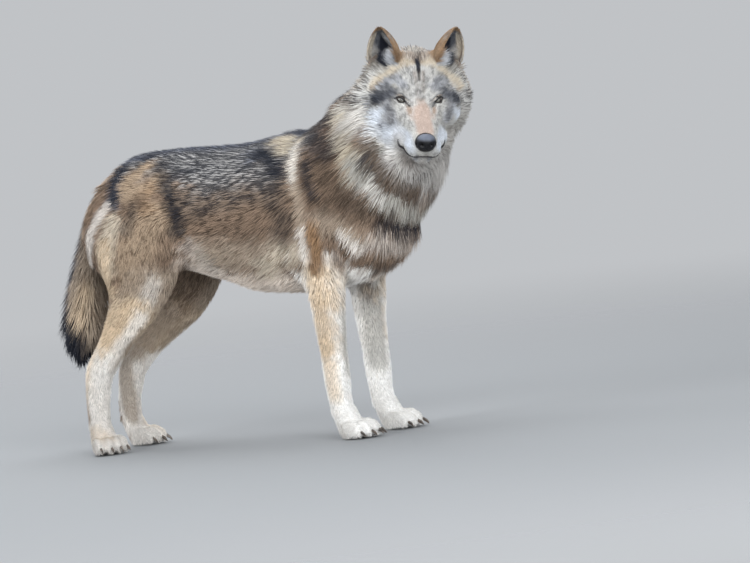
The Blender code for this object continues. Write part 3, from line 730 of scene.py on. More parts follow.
    on_head(ROSE, ((24, 0, 0), (46, 0, -8)), 20, 0.75),
    on_head(ROSE, ((60, 22, -20), (36, 30, -14)), 13, 0.6),
    on_head(ORANGE, ((30, 31, -9), (44, 29, -13)), 9, 0.5),
    on_head(BROWN, ((-90, 0, 58), (-120, 0, 57)), 26, 0.7),
    on_head(BROWN, ((-44, 10, 44), (-10, 9, 26), (14, 9, 10)), 9, 0.4),
    on_head(DUSK, ((-14, 0, 26), (14, 0, 8)), 17, 0.32),
    on_head(GRIZZLE, ((-150, 0, 40), (-200, 0, 10), (-240, 0, -30)), 62, 0.8),
    on_head(GRIZZLE, ((-130, 60, 40), (-120, 125, 20), (-100, 150, -40)), 34, 0.6),
    on_head(PALE, ((-130, 0, 50), (-142, 0, 42)), 30, 0.8),
    on_head(BLACK, ((-86, 0, 57), (-60, 0, 52), (-46, 0, 44)), 7, whole=0.4, ragged=0.4),
    on_head(DUSK, ((-50, 0, 47), (-28, 0, 34)), 6, 0.8, whole=0.3, ragged=0.4),
    # neck, over the ruff
    Mark(BARK, ((400, -140, 705), (418, -138, 665), (434, -127, 622), (446, -110, 585)), 30, 0.95),
    Mark(BLACK, ((402, -141, 680), (408, -140, 652), (418, -134, 620)), 19, 0.9),
    Mark(THROAT, ((520, 60, 680), (548, 40, 700), (500, 110, 700)), 40, 0.7),
    Mark(BROWN, ((395, -138, 740), (384, -142, 704)), 24, 0.95, whole=0.35),
    Mark(GRIZZLE, ((348, -100, 816), (362, -110, 802)), 28, 0.65),
    on_head(THROAT, ((12, 134, -74), (14, 134, -88)), 24, 0.75),
    on_head(SNOW, ((12, 134, -74), (14, 134, -88)), 24, 0.4),
)


@dataclass(frozen=True)
class Markings:
    """The coat's colours over the whole wolf, alike on both sides."""

    marks: tuple[Mark, ...]  # the lowest first
    base: Shade  # under them all
    # What roughens the edges: share, size in metres and seed of each noise.
    swells: tuple[tuple[float, float, int], ...] = ((0.6, 0.022, 5), (0.4, 0.009, 6))

    def at(self, points: np.ndarray) -> np.ndarray:
        """The shade at each place.

        Args:
            points: places on or in the coat.

        Returns:
            Seven numbers a place: middle, tips, share.
        """
        shade = np.tile(self.base.row(), (len(points), 1))
        ragged = sum(share * cloud(points, size, seed) for share, size, seed in self.swells)
        for mark in self.marks:
            line = np.array(mark.line, float) * MM
            gap = np.full(len(points), FAR)
            for twin in both_sides(line, mark.axes):
                gap = np.minimum(gap, distance_to_line(points, twin))
            reach = mark.reach * MM * (1.0 + mark.ragged * ragged)
            weight = (1.0 - eased(gap / reach, mark.whole, 1.0)) * mark.strength
            shade = mixed(shade, mark.shade.row(), weight)
        return shade


def distance_to_line(points: np.ndarray, line: np.ndarray) -> np.ndarray:
    """How far each place is from a line of straight runs.

    Args:
        points: places.
        line: the line's corners.

    Returns:
        One distance for each place.
    """
    best = np.full(len(points), FAR)
    for a, b in zip(line[:-1], line[1:]):
        run = b - a
        t = np.clip((points - a) @ run / (run @ run), 0.0, 1.0)
        best = np.minimum(best, np.linalg.norm(points - a - t[:, None] * run, axis=1))
    return best


# ---- eyes and ears


@dataclass
class Eye:
    """One eye: its ball, the slit between its lids, and the way it looks.

    Places and directions are the left eye's, in the head's axes.
    """

    side: int  # 1 for the left eye and -1 for the right
    place: Triple = (-3.0, 43.0, -8.0)
    radius: float = 11.8 * MM
    faces: Triple = (0.80, 0.35, 0.49)
    runs: Triple = (-0.61, 0.775, 0.163)
    looks: Triple = (0.83, -0.16, 0.53)  # the same for both eyes
    inner: tuple[Triple, ...] = ((7.6, 36.6, -7.2), (16.0, 32.0, -8.0), (27.0, 28.0, -7.0))
    outer: tuple[Triple, ...] = ((-5.4, 53.0, -3.8), (-5.0, 64.0, -3.0))
    half_width: float = 1.12  # of the slit; this and the angles below at the ball's middle
    upper: float = 0.40
    lower: float = 0.38
    pupil: float = 0.19
    iris: float = 0.56
    ring: float = 0.66
    lid: float = 1.5 * MM  # thickness
    thinnest_lid: float = 0.9 * MM
    crease: Triple = (0.8 * MM, 4.5 * MM, 1.4 * MM)  # depth, distance from the edge, width
    socket: float = 2.0 * MM  # how far the skin between the lids drops behind the ball's front
    lid_reach: float = 10 * MM  # from the slit's edge until the lid has eased out
    face_reach: float = 12 * MM  # from the slit's edge to where the skin is left alone

    def __post_init__(self) -> None:
        """Works out the eye's place and directions in the wolf's axes."""
        flip = np.array([1.0, self.side, 1.0])
        self.middle = HEAD.out(np.array(self.place) * MM * flip)
        self.opening = unit(HEAD.turned(np.array(self.faces) * flip))
        self.slit = across(HEAD.turned(np.array(self.runs) * flip), self.opening)
        rise = np.cross(self.opening, self.slit)
        self.rise = rise * np.sign(rise[2])
        self.gaze = unit(HEAD.turned(np.array(self.looks)))

    def lid_height(self, x: np.ndarray, upper: np.ndarray) -> np.ndarray:
        """How far the slit opens, as an angle at the ball's middle.

        Args:
            x: angles along the slit, from its inner to its outer corner.
            upper: whether it is the upper lid's side.

        Returns:
            Angles from the slit's middle line to the lid's edge.
        """
        full = np.where(upper, self.upper, self.lower)
        lean = np.where(upper, 0.18, -0.12) * x / self.half_width
        return full * np.maximum(1.0 - (x / self.half_width) ** 2, 0.0) * (1.0 + lean)

    def slit_gap(self, points: np.ndarray) -> np.ndarray:
        """How far each place is outside the slit, in metres; below zero it is between the lids.

        Args:
            points: places near the eye.

        Returns:
            One distance for each place, and a large one behind the ball.
        """
        way = unit(points - self.middle)
        front = dot(way, self.opening)
        x = np.arctan2(dot(way, self.slit), np.maximum(front, 1e-3))
        y = np.arcsin(np.clip(dot(way, self.rise), -1.0, 1.0))
        beside = np.maximum(np.abs(x) - self.half_width, 0.0)
        above = np.abs(y) - self.lid_height(x, y > 0)
        gap = np.where(beside > 0, np.hypot(beside, y), above) * self.radius
        near = np.linalg.norm(points - self.middle, axis=1) < 3.0 * self.radius
        return np.where((front > 0.05) & near, gap, 1.0)

    def lids(self, points: np.ndarray) -> np.ndarray:
        """Shapes the skin into two lids over the ball.

        The skin between the lids drops behind the ball; from the slit's edge
        it rises over the ball and eases into the face.

        Args:
            points: the skin's corners.

        Returns:
            The corners in their new places.
        """
        gap = self.slit_gap(points)
        offset = points - self.middle
        reach = np.linalg.norm(offset, axis=1)
        share = eased(gap, 0.0, self.lid_reach)
        folded = (self.radius + self.lid) * (1.0 - share) + reach * share
        deep, place, wide = self.crease
        crease = deep * np.exp(-(((gap - place) / wide) ** 2))
        folded = np.maximum(folded - crease, self.radius + self.thinnest_lid)
        target = np.where(gap < 0, self.radius - self.socket, folded)
        target = np.where(gap < self.face_reach, target, reach)
        return self.middle + offset / np.maximum(reach, 1e-9)[:, None] * target[:, None]

    def paint(self, points: np.ndarray, shade: np.ndarray) -> np.ndarray:
        """Lays the lids' fine colours: a pale line below, a brown fold and a dark crease above.

        Args:
            points: places.
            shade: the shades already laid.

        Returns:
            The shades with the lids' laid over them.
        """
        offset = points - self.middle
        reach = np.linalg.norm(offset, axis=1)
        gap = self.slit_gap(points) * np.maximum(reach / self.radius, 1.0) / MM
        rise = dot(offset, self.rise) / np.maximum(reach, 1e-9)
        for paint, middle, wide, above, strength in (
            (WHITE, 4.6, 1.7, False, 0.55),
            (EARTH, 5.6, 1.8, True, 0.5),
            (SHADOW, 8.6, 1.5, True, 0.8),
        ):
            near = np.exp(-(((gap - middle) / wide) ** 2)) * strength
            side = eased(rise, 0.1, 0.4) if above else eased(-rise, 0.1, 0.4)
            shade = mixed(shade, paint.row(), near * side)
        for corners in (self.inner, self.outer):
            near = 1.0 - eased(distance_to_line(points, self.line(corners)), 1.5 * MM, 4.0 * MM)
            shade = mixed(shade, BLACK.row(), near * 0.9)
        return shade

    def line(self, corners: tuple[Triple, ...]) -> np.ndarray:
        """One of the dark lines that lead on from the eye's corners."""
        return HEAD.out(np.array(corners, float) * MM * np.array([1.0, self.side, 1.0]))

    def rim(self, upper: bool) -> Surface:
        """The dark edge of one lid, a thin rod from corner to corner.

        Args:
            upper: True for the upper lid.

        Returns:
            Its corners and triangles.
        """
        x = np.linspace(-1.06, 1.04, 40) * self.half_width
        inside = np.clip(x, -self.half_width, self.half_width)
        y = self.lid_height(inside, np.full(len(x), upper)) * (1 if upper else -1)
        way = (
            self.opening * (np.cos(x) * np.cos(y))[:, None]
            + self.slit * (np.sin(x) * np.cos(y))[:, None]
            + self.rise * np.sin(y)[:, None]
        )
        path = self.middle + way * (self.radius + self.thinnest_lid)
        full = 1.6 if upper else 0.85
        thick = (0.5 + full * np.cos(x / self.half_width * 1.4)) * MM
        return tube(path, np.maximum(thick, 0.35 * MM), up=tuple(self.opening))

    def ball(self) -> tuple[np.ndarray, np.ndarray, np.ndarray]:
        """The eyeball, ringed round the way it looks, with a raised cornea.

        Its reach is the radius and a bell of 3% more round the gaze. The iris
        is streaked by noise wound round the gaze, and darkens towards its edge.

        Returns:
            Its corners, triangles and colours.
        """
        rings, sides = 72, 96
        p, a = ball_angles(rings, sides)
        x_axis = across(self.slit, self.gaze)
        y_axis = np.cross(self.gaze, x_axis)
        way = (
            self.gaze * np.cos(p)[:, None]
            + x_axis * (np.sin(p) * np.cos(a))[:, None]
            + y_axis * (np.sin(p) * np.sin(a))[:, None]
        )
        reach = self.radius * (1.0 + 0.03 * np.exp(-((p / 0.5) ** 2)))
        points = self.middle + way * reach[:, None]
        streak = cloud(np.stack([np.cos(a) * 5, np.sin(a) * 5, p], 1), 0.55, 3)
        colour = np.full((len(p), 3), 0.004)
        iris = np.array([0.125, 0.12, 0.10]) * (1.0 + 0.25 * streak)[:, None]
        iris = mixed(iris, np.array([0.06, 0.054, 0.042]), eased(p, 0.38, self.iris))
        for paint, low, high in (
            (iris, self.pupil, self.pupil + 0.05),
            (np.full(3, 0.012), self.iris - 0.04, self.iris + 0.04),
            (np.array([0.10, 0.08, 0.07]), self.ring, self.ring + 0.2),
        ):
            colour = mixed(colour, paint, eased(p, low, high))
        triangles = closed_rings(rings, sides)
        return points, faced_outward(points, triangles), colour


@dataclass
class Ear:
    """One ear's own axes, for its colours and its hair.

    Places and directions are the left ear's, in the head's axes.
    """

    side: int  # 1 for the left ear and -1 for the right
    foot: Triple = (-98.0, 69.0, 26.0)
    tip: Triple = (-106.0, 96.0, 124.0)
    faces: Triple = (0.86, 0.42, -0.05)
    half_widths: tuple[float, ...] = (40.0, 43.0, 40.0, 29.0, 16.0, 6.5)  # foot to tip, in mm

    def __post_init__(self) -> None:
        """Works out the ear's place and directions in the wolf's axes."""
        flip = np.array([1.0, self.side, 1.0])
        root, tip = (HEAD.out(np.array(p) * MM * flip) for p in (self.foot, self.tip))
        self.root = root
        self.height = float(np.linalg.norm(tip - root))
        self.rise = unit(tip - root)
        self.facing = across(HEAD.turned(np.array(self.faces) * flip), self.rise)
        outward = np.cross(self.rise, self.facing)
        left = HEAD.turned(np.array([0.0, self.side, 0.0]))
        self.outward = outward * np.sign(outward @ left)

    def spread(self, points: np.ndarray) -> tuple[np.ndarray, np.ndarray, np.ndarray]:
        """Where each place lies on the ear.

        Args:
            points: places.

        Returns:
            Height from root 0 to tip 1, distance outward as a share of the
            half-width there, and how surely the place is on the ear.
        """
        offset = points - self.root
        t = dot(offset, self.rise) / self.height
        half = np.interp(t, np.linspace(0.0, 1.0, len(self.half_widths)), self.half_widths) * MM
        s = dot(offset, self.outward) / half
        deep = np.abs(dot(offset, self.facing))
        on = eased(t, 0.12, 0.26) * (1.0 - eased(np.abs(s), 1.25, 1.6))
        return t, s, on * (1.0 - eased(deep, 34 * MM, 46 * MM))

    def blade(self, points: np.ndarray) -> np.ndarray:
        """Where the thin upright part of the ear is."""
        ahead = dot(points - self.root, self.facing)
        return self.spread(points)[2] * (1.0 - eased(ahead, 10 * MM, 22 * MM))

    def fluff(self, points: np.ndarray, normals: np.ndarray) -> np.ndarray:
        """Where the long pale hair grows inside the ear, from its inner edge.

        Args:
            points: places.
            normals: the surface's directions there.

        Returns:
            1 where it is longest, 0 where there is none.
        """
        t, s, _ = self.spread(points)
        inner = eased(dot(normals, self.facing), -0.1, 0.3)
        along = eased(t, 0.0, 0.12) * (1.0 - eased(t, 0.60, 0.85))
        return inner * along * eased(-s, 0.05, 0.35) * (1.0 - eased(-s, 0.85, 1.0))

    def paint(self, points: np.ndarray, normals: np.ndarray, shade: np.ndarray) -> np.ndarray:
        """Lays the ear's colours: brown back, a black hollow of painted shade with pale lining, tan and
        orange rim.

        s runs from the inner edge at -1 to the outer one at 1, t from root to tip.

        Args:
            points: places.
            normals: the surface's directions there.
            shade: the shades already laid.

        Returns:
            The shades with the ear's laid over them.
        """
        t, s, on = self.spread(points)
        facing = dot(normals, self.facing)
        lean = 0.75 * np.minimum(np.abs(s), 1.0)
        inside = eased(facing, -0.75 + lean, -0.35 + lean)
        whole = np.ones((len(points), 1))
        back = mixed(EARTH.row() * whole, SHADOW.row(), eased(s, 0.2, 0.9) * 0.5)
        hollow_half = 0.10 + 0.24 * (1.0 - eased(t, 0.35, 0.85))
        from_hollow = np.abs(s + 0.05 - 0.40 * t) / hollow_half + 1.2 * eased(t, 0.60, 0.84)
        low = 1.0 - eased(t - 0.22 * eased(s, 0.4, 0.8), 0.15, 0.42)
        pale = np.maximum(eased(-s, -0.1, 0.2) * 0.7, low)
        lining = mixed(SHADOW.row() * whole, THROAT.row(), pale)
        # The black down the ear's middle is painted shade in its hollow.
        hollow = mixed(BLACK.row() * whole, lining, eased(from_hollow, 0.75, 1.35) * 0.9)
        tuft = eased(-s, 0.12, 0.4) * (1.0 - eased(-s, 0.75, 0.9)) * (1.0 - eased(t, 0.62, 0.88))
        hollow = mixed(hollow, SNOW.row(), tuft * 0.6)
        ear = mixed(back, hollow, inside)
        outer_rim = eased(s, 0.74, 0.92) * eased(facing, -0.5, 0.0) * (1.0 - eased(t, 0.75, 0.95))
        ear = mixed(ear, CREAM.row(), outer_rim * 0.9)
        fold = np.maximum(eased(-s, 0.72, 0.92), eased(t, 0.84, 0.94)) * (0.3 + 0.7 * inside)
        ear = mixed(ear, TAN.row(), fold * 0.9)
        edge = np.maximum(eased(-s, 0.75, 0.95), eased(t, 0.8, 0.92))
        ear = mixed(ear, ORANGE.row(), fold * edge * 0.8)
        return mixed(shade, ear, on)


# ---- the skin


class Net:
    """Which corners of a mesh are neighbours."""

    def __init__(self, triangles: np.ndarray, count: int) -> None:
        """Reads the neighbours.

        Args:
            triangles: corner numbers.
            count: how many corners there are.
        """
        pairs = np.concatenate([triangles[:, [0, 1]], triangles[:, [1, 2]], triangles[:, [2, 0]]])
        self.a, self.b = pairs[:, 0], pairs[:, 1]
        self.count = count
        self.degree = np.maximum(np.bincount(self.a, minlength=count), 1)

    def mean(self, values: np.ndarray) -> np.ndarray:
        """The mean of each corner's neighbours.

        Args:
            values: rows, one for each corner.

        Returns:
            Rows of means.
        """
        columns = [
            np.bincount(self.a, values[self.b, i], minlength=self.count) / self.degree
            for i in range(values.shape[1])
        ]
        return np.stack(columns, 1)

    def biggest(self) -> np.ndarray:
        """Finds the biggest joined-up part.

        Returns:
            True for the corners in it.
        """
        label = np.arange(self.count)
        while True:
            low = np.minimum(label[self.a], label[self.b])
            fresh = label.copy()
            np.minimum.at(fresh, self.a, low)
            fresh = fresh[fresh]
            if (fresh == label).all():
                return label == np.bincount(label).argmax()
            label = fresh


@dataclass
class Skin:
    """One skin over the whole wolf, inside the coat."""

    voxel: float = 0.003
    smoothings: int = 14
    sinkings: int = 10
    kept: float = 0.27  # share of the faces left where a deep coat hides them
    fine_face: Triple = (-0.135, 0.125, -0.135)  # back, side and lowest end of the fine face
    fine_foot: float = 0.085  # top of the fine feet
    split_within: tuple[float, ...] = (24 * MM, 19 * MM)  # of an eye, one split after another
    lip_share: float = 0.35  # of those reaches, along the lips
    nose_cover: Triple = (20.0, -46.0, 17.5)  # half-width, middle height, half-height, in mm
    nose_wall: float = 113.0
    points: np.ndarray = field(init=False)
    triangles: np.ndarray = field(init=False)
    normals: np.ndarray = field(init=False)

    def build(self, nodes: list[bpy.types.Object], lie: Lie, eyes: list[Eye]) -> None:
        """Closes the flesh into one surface and sinks it by the coat's depth.

        Args:
            nodes: the flesh.
            lie: how deep the coat is.
            eyes: both eyes, for the lids.
        """
        points, triangles = self.joined(nodes)
        points, triangles = self.modified(points, triangles, self.remeshed)
        net = Net(triangles, len(points))
        points, triangles = kept_part(points, triangles, net.biggest())
        net = Net(triangles, len(points))
        for _ in range(self.smoothings):
            points = points + 0.50 * (net.mean(points) - points)
            points = points - 0.52 * (net.mean(points) - points)  # undoes the shrinking
        points = self.sunk(points, triangles, net, lie)
        points, triangles = self.modified(points, triangles, self.thinned)
        points, triangles = self.finer(points, triangles, eyes)
        for eye in eyes:
            points = eye.lids(points)
        points = self.behind_nose(points)
        self.points, self.triangles = points, triangles
        self.normals = corner_normals(points, triangles)

    @staticmethod
    def joined(nodes: list[bpy.types.Object]) -> Surface:
        """Copies the flesh into one set of arrays, with double corners merged.

        Args:
            nodes: the flesh.

        Returns:
            Corners and triangles.
        """
        all_points, all_triangles, start = [], [], 0
        for node in nodes:
            points, triangles = arrays_of(node.data)
            keys = np.round(points * 1e6).astype(np.int64)
            _, first, merged = np.unique(keys, axis=0, return_index=True, return_inverse=True)
            all_points.append(points[first])
            all_triangles.append(merged.ravel()[triangles] + start)
            start += len(first)
        return np.concatenate(all_points), np.concatenate(all_triangles)

    @staticmethod
    def modified(
        points: np.ndarray,
        triangles: np.ndarray,
        add: Callable[[bpy.types.Object, np.ndarray], None],
    ) -> Surface:
        """Runs one modifier over arrays.

        Args:
            points: corners.
            triangles: corner numbers.
            add: a function that gives the piece its modifier.

        Returns:
            The corners and triangles that it makes.
        """
        piece = new_mesh("working", points, triangles)
        add(piece, points)
        graph = bpy.context.evaluated_depsgraph_get()
        made = bpy.data.meshes.new_from_object(piece.evaluated_get(graph))
        result = arrays_of(made)
        bpy.data.meshes.remove(made)
        discard(piece)
        return result

    def remeshed(self, piece: bpy.types.Object, points: np.ndarray) -> None:
        """Adds the modifier that closes the pieces into one surface.

        Args:
            piece: the working piece.
            points: its corners.
        """
        step = piece.modifiers.new("close", "REMESH")
        step.mode = "VOXEL"
        step.voxel_size = self.voxel

    def thinned(self, piece: bpy.types.Object, points: np.ndarray) -> None:
        """Adds the modifier that leaves fewer faces where a deep coat hides them.

        Args:
            piece: the working piece.
            points: its corners.
        """
        own = HEAD.back(points)
        back, side, low = self.fine_face
        face = (own[:, 0] > back) & (own[:, 2] > low) & (np.abs(own[:, 1]) < side)
        foot = points[:, 2] < self.fine_foot
        group = piece.vertex_groups.new(name="fine")
        group.add(np.nonzero(face | foot)[0].tolist(), 1.0, "REPLACE")
        step = piece.modifiers.new("thin", "DECIMATE")
        step.ratio = self.kept
        step.vertex_group = group.name
        step.invert_vertex_group = True
        step.vertex_group_factor = 10.0

    def behind_nose(self, points: np.ndarray) -> np.ndarray:
        """Flattens the skin that the nose covers, so that its nostrils open on nothing else.

        Args:
            points: corners.

        Returns:
            The corners in their new places.
        """
        own = HEAD.back(points) / MM
        wide, middle, high = self.nose_cover
        covered = np.hypot(own[:, 1] / wide, (own[:, 2] - middle) / high) < 1.0
        own[:, 0] = np.where(covered, np.minimum(own[:, 0], self.nose_wall), own[:, 0])
        return np.where(covered[:, None], HEAD.out(own * MM), points)

    def sunk(self, points: np.ndarray, triangles: np.ndarray, net: Net, lie: Lie) -> np.ndarray:
        """Moves the surface inward by the coat's depth, a little at a time.

        Args:
            points: corners.
            triangles: corner numbers.
            net: the corners' neighbours.
            lie: how deep the coat is.

        Returns:
            The corners in their new places.
        """
        depth = lie.at(points)[1]
        step = (depth / self.sinkings)[:, None]
        loose = eased(depth, 3 * MM, 12 * MM)[:, None]
        for _ in range(self.sinkings):
            points = points - corner_normals(points, triangles) * step
            for _ in range(4):
                points = points + 0.5 * loose * (net.mean(points) - points)
        return points

    def finer(self, points: np.ndarray, triangles: np.ndarray, eyes: list[Eye]) -> Surface:
        """Splits the faces round the eyes and the mouth into smaller ones.

        Args:
            points: corners.
            triangles: corner numbers.
            eyes: both eyes.

        Returns:
            The new corners and triangles.
        """
        piece = new_mesh("working", points, triangles)
        body = bmesh.new()
        body.from_mesh(piece.data)
        for reach in self.split_within:
            places = arrays_of(piece.data)[0]
            near = distance_to_line(places, lip_line()) < reach * self.lip_share
            for eye in eyes:
                near |= np.linalg.norm(places - eye.middle, axis=1) < reach
            body.verts.ensure_lookup_table()
            chosen = [e for e in body.edges if near[e.verts[0].index] and near[e.verts[1].index]]
            bmesh.ops.subdivide_edges(body, edges=chosen, cuts=1, use_grid_fill=True)
            bmesh.ops.triangulate(body, faces=[f for f in body.faces if len(f.verts) > 3])
            body.verts.index_update()
            body.to_mesh(piece.data)
        body.free()
        result = arrays_of(piece.data)
        discard(piece)
        return result


def kept_part(points: np.ndarray, triangles: np.ndarray, keep: np.ndarray) -> Surface:
    """Drops the corners that are not kept, and the faces that use them."""
    fresh = np.cumsum(keep) - 1
    return points[keep], fresh[triangles[keep[triangles].all(1)]]


# From the left corner of the mouth to the middle of the lips, in the head's axes.
LIP = ((70, 58, -77), (74, 54, -85), (81, 49, -91), (95, 43, -91),
       (112, 36, -89), (122, 22, -89), (126, 9, -91), (126, 0, -93))


def lip_line() -> np.ndarray:
    """The line between the lips, from one corner of the mouth to the other.

    Returns:
        Its corners in the wolf's axes.
    """
    right = np.array(LIP, float) * MM * np.array([1.0, -1.0, 1.0])
    left = right[::-1][1:] * np.array([1.0, -1.0, 1.0])
    return HEAD.out(np.concatenate([right, left]))


@dataclass
class Bare:
    """Where the skin has no hair: lids' edges, lips, the nose's root and the pads."""

    eyes: list[Eye]
    skin: Skin
    lip_points: int = 61
    lip_width: Pair = (3.2 * MM, 5.0 * MM)  # wholly bare within, hairy beyond
    lid_width: Pair = (1.9, 1.1)  # below, and more above, in mm
    inner_width: float = 3.6 * MM
    outer_width: float = 3.2 * MM
    nose_middle: Triple = (127.0, 0.0, -46.0)
    nose_radii: Triple = (20.0, 25.0, 22.5)
    pad_height: Pair = (3 * MM, 9 * MM)

    def __post_init__(self) -> None:
        """Lays the line of the lips on the skin, smooths it and keeps it as lips."""
        skin = self.skin
        line = lip_line()
        run = np.concatenate([[0.0], np.cumsum(np.linalg.norm(np.diff(line, axis=0), axis=1))])
        along = np.linspace(0.0, run[-1], self.lip_points)
        path = np.stack([np.interp(along, run, line[:, k]) for k in range(3)], 1)
        nearest = ((path[:, None] - skin.points[None]) ** 2).sum(2).argmin(1)
        path = skin.points[nearest] + skin.normals[nearest] * 0.9 * MM
        for _ in range(3):
            path[1:-1] = (path[:-2] + path[1:-1] * 2 + path[2:]) / 4
        self.lips = path

    def share(self, points: np.ndarray, normals: np.ndarray) -> np.ndarray:
        """How bare the skin is.

        Args:
            points: places on the skin.
            normals: the skin's directions there.

        Returns:
            1 where it is bare and black, 0 where hair grows.
        """
        bare = 1.0 - eased(distance_to_line(points, self.lips), *self.lip_width)
        below, more = self.lid_width
        for eye in self.eyes:
            above = eased(dot(points - eye.middle, eye.rise), 0.0, 4 * MM)
            edge = (below + more * above) * MM
            bare = np.maximum(bare, 1.0 - eased(eye.slit_gap(points) / edge, 0.45, 1.0))
            for corners, wide in ((eye.inner, self.inner_width), (eye.outer, self.outer_width)):
                gap = distance_to_line(points, eye.line(corners))
                bare = np.maximum(bare, 1.0 - eased(gap, wide * 0.45, wide))
        from_nose = HEAD.back(points) / MM - np.array(self.nose_middle)
        nose = np.linalg.norm(from_nose / np.array(self.nose_radii), axis=1)
        bare = np.maximum(bare, 1.0 - eased(nose, 1.0, 1.1))
        pad = (1.0 - eased(points[:, 2], *self.pad_height)) * eased(-normals[:, 2], 0.3, 0.7)
        return np.maximum(bare, pad)


# ---- the coat


@dataclass(frozen=True)
class Region:
    """A part of the coat kept in pieces of its own, wound round a line."""

    name: str
    line: tuple[Triple, ...]
    radius: float
    slot: str = "coat"

    def gap(self, points: np.ndarray) -> np.ndarray:
        """How far places are from the region's line, in radii."""
        return distance_to_line(points, np.array(self.line, float) * MM) / (self.radius * MM)

    def order(self, points: np.ndarray) -> tuple[np.ndarray, np.ndarray]:
        """Unrolls the region like a label round a bottle.

        Each place goes to the nearest run of the line; its offset from there
        gives the angle, measured from one fixed direction square to the line.

        Args:
            points: places on the region.

        Returns:
            The distance along the line and the angle round it.
        """
        line = np.array(self.line, float) * MM
        axis = unit(line[-1] - line[0])
        side = unit(np.cross(axis, [0.3, 1.0, 0.2]))
        other = np.cross(axis, side)
        best = np.full(len(points), FAR)
        along = np.zeros(len(points))
        foot = np.zeros_like(points)
        start = 0.0
        for a, b in zip(line[:-1], line[1:]):
            run = b - a
            size = np.linalg.norm(run)
            t = (points - a) @ run / size**2
            held = np.clip(t, 0.0, 1.0)
            place = a + held[:, None] * run
            gap = np.linalg.norm(points - place, axis=1)
            near = gap < best
            best = np.where(near, gap, best)
            along = np.where(near, start + t * size, along)
            foot = np.where(near[:, None], place, foot)
            start += size
        offset = points - foot
        return along, np.arctan2(dot(offset, other), dot(offset, side))


REGIONS = (
    Region("trunk_coat", ((250, 0, 580), (-400, 0, 580)), 150),
    Region("neck_coat", ((330, 0, 640), (440, -20, 700)), 135),
    Region("head_coat", ((470, 10, 830), (530, -50, 790), (600, -130, 700)), 100),
    Region("tail_coat", ((-450, 0, 600), (-510, 0, 450), (-590, 0, 250)), 55),
    Region("fore_right_coat", ((235, -88, 380), (240, -86, 120), (300, -90, 30)), 55, "pale_coat"),
    Region("fore_left_coat", ((235, 88, 380), (240, 86, 120), (300, 90, 30)), 55, "pale_coat"),
    Region("hind_right_coat", ((-290, -120, 450), (-400, -108, 320), (-480, -92, 230),
        (-475, -90, 100), (-420, -105, 30)), 58, "pale_coat"),
    Region("hind_left_coat", ((-290, 120, 450), (-400, 108, 320), (-480, 92, 230), (-475, 90, 100),
        (-420, 95, 30)), 58, "pale_coat"),
)


@dataclass
class Roots:
    """Where tufts stand, and what each one is like."""

    points: np.ndarray
    normals: np.ndarray
    ways: np.ndarray
    depths: np.ndarray
    lengths: np.ndarray
    widths: np.ndarray
    shades: np.ndarray
    pulls: np.ndarray  # towards each lock's middle
    luck: np.ndarray  # below the shade's share, the tips are dark
    tones: np.ndarray  # brightness

    def only(self, chosen: np.ndarray) -> "Roots":
        """Some of the tufts."""
        return Roots(*(getattr(self, name)[chosen] for name in self.__dataclass_fields__))


BENT_FROM = 19 * MM  # a longer tuft has two rings of corners before its point
FACES = {1: 4, 2: 10}  # triangles of a tuft with that many rings


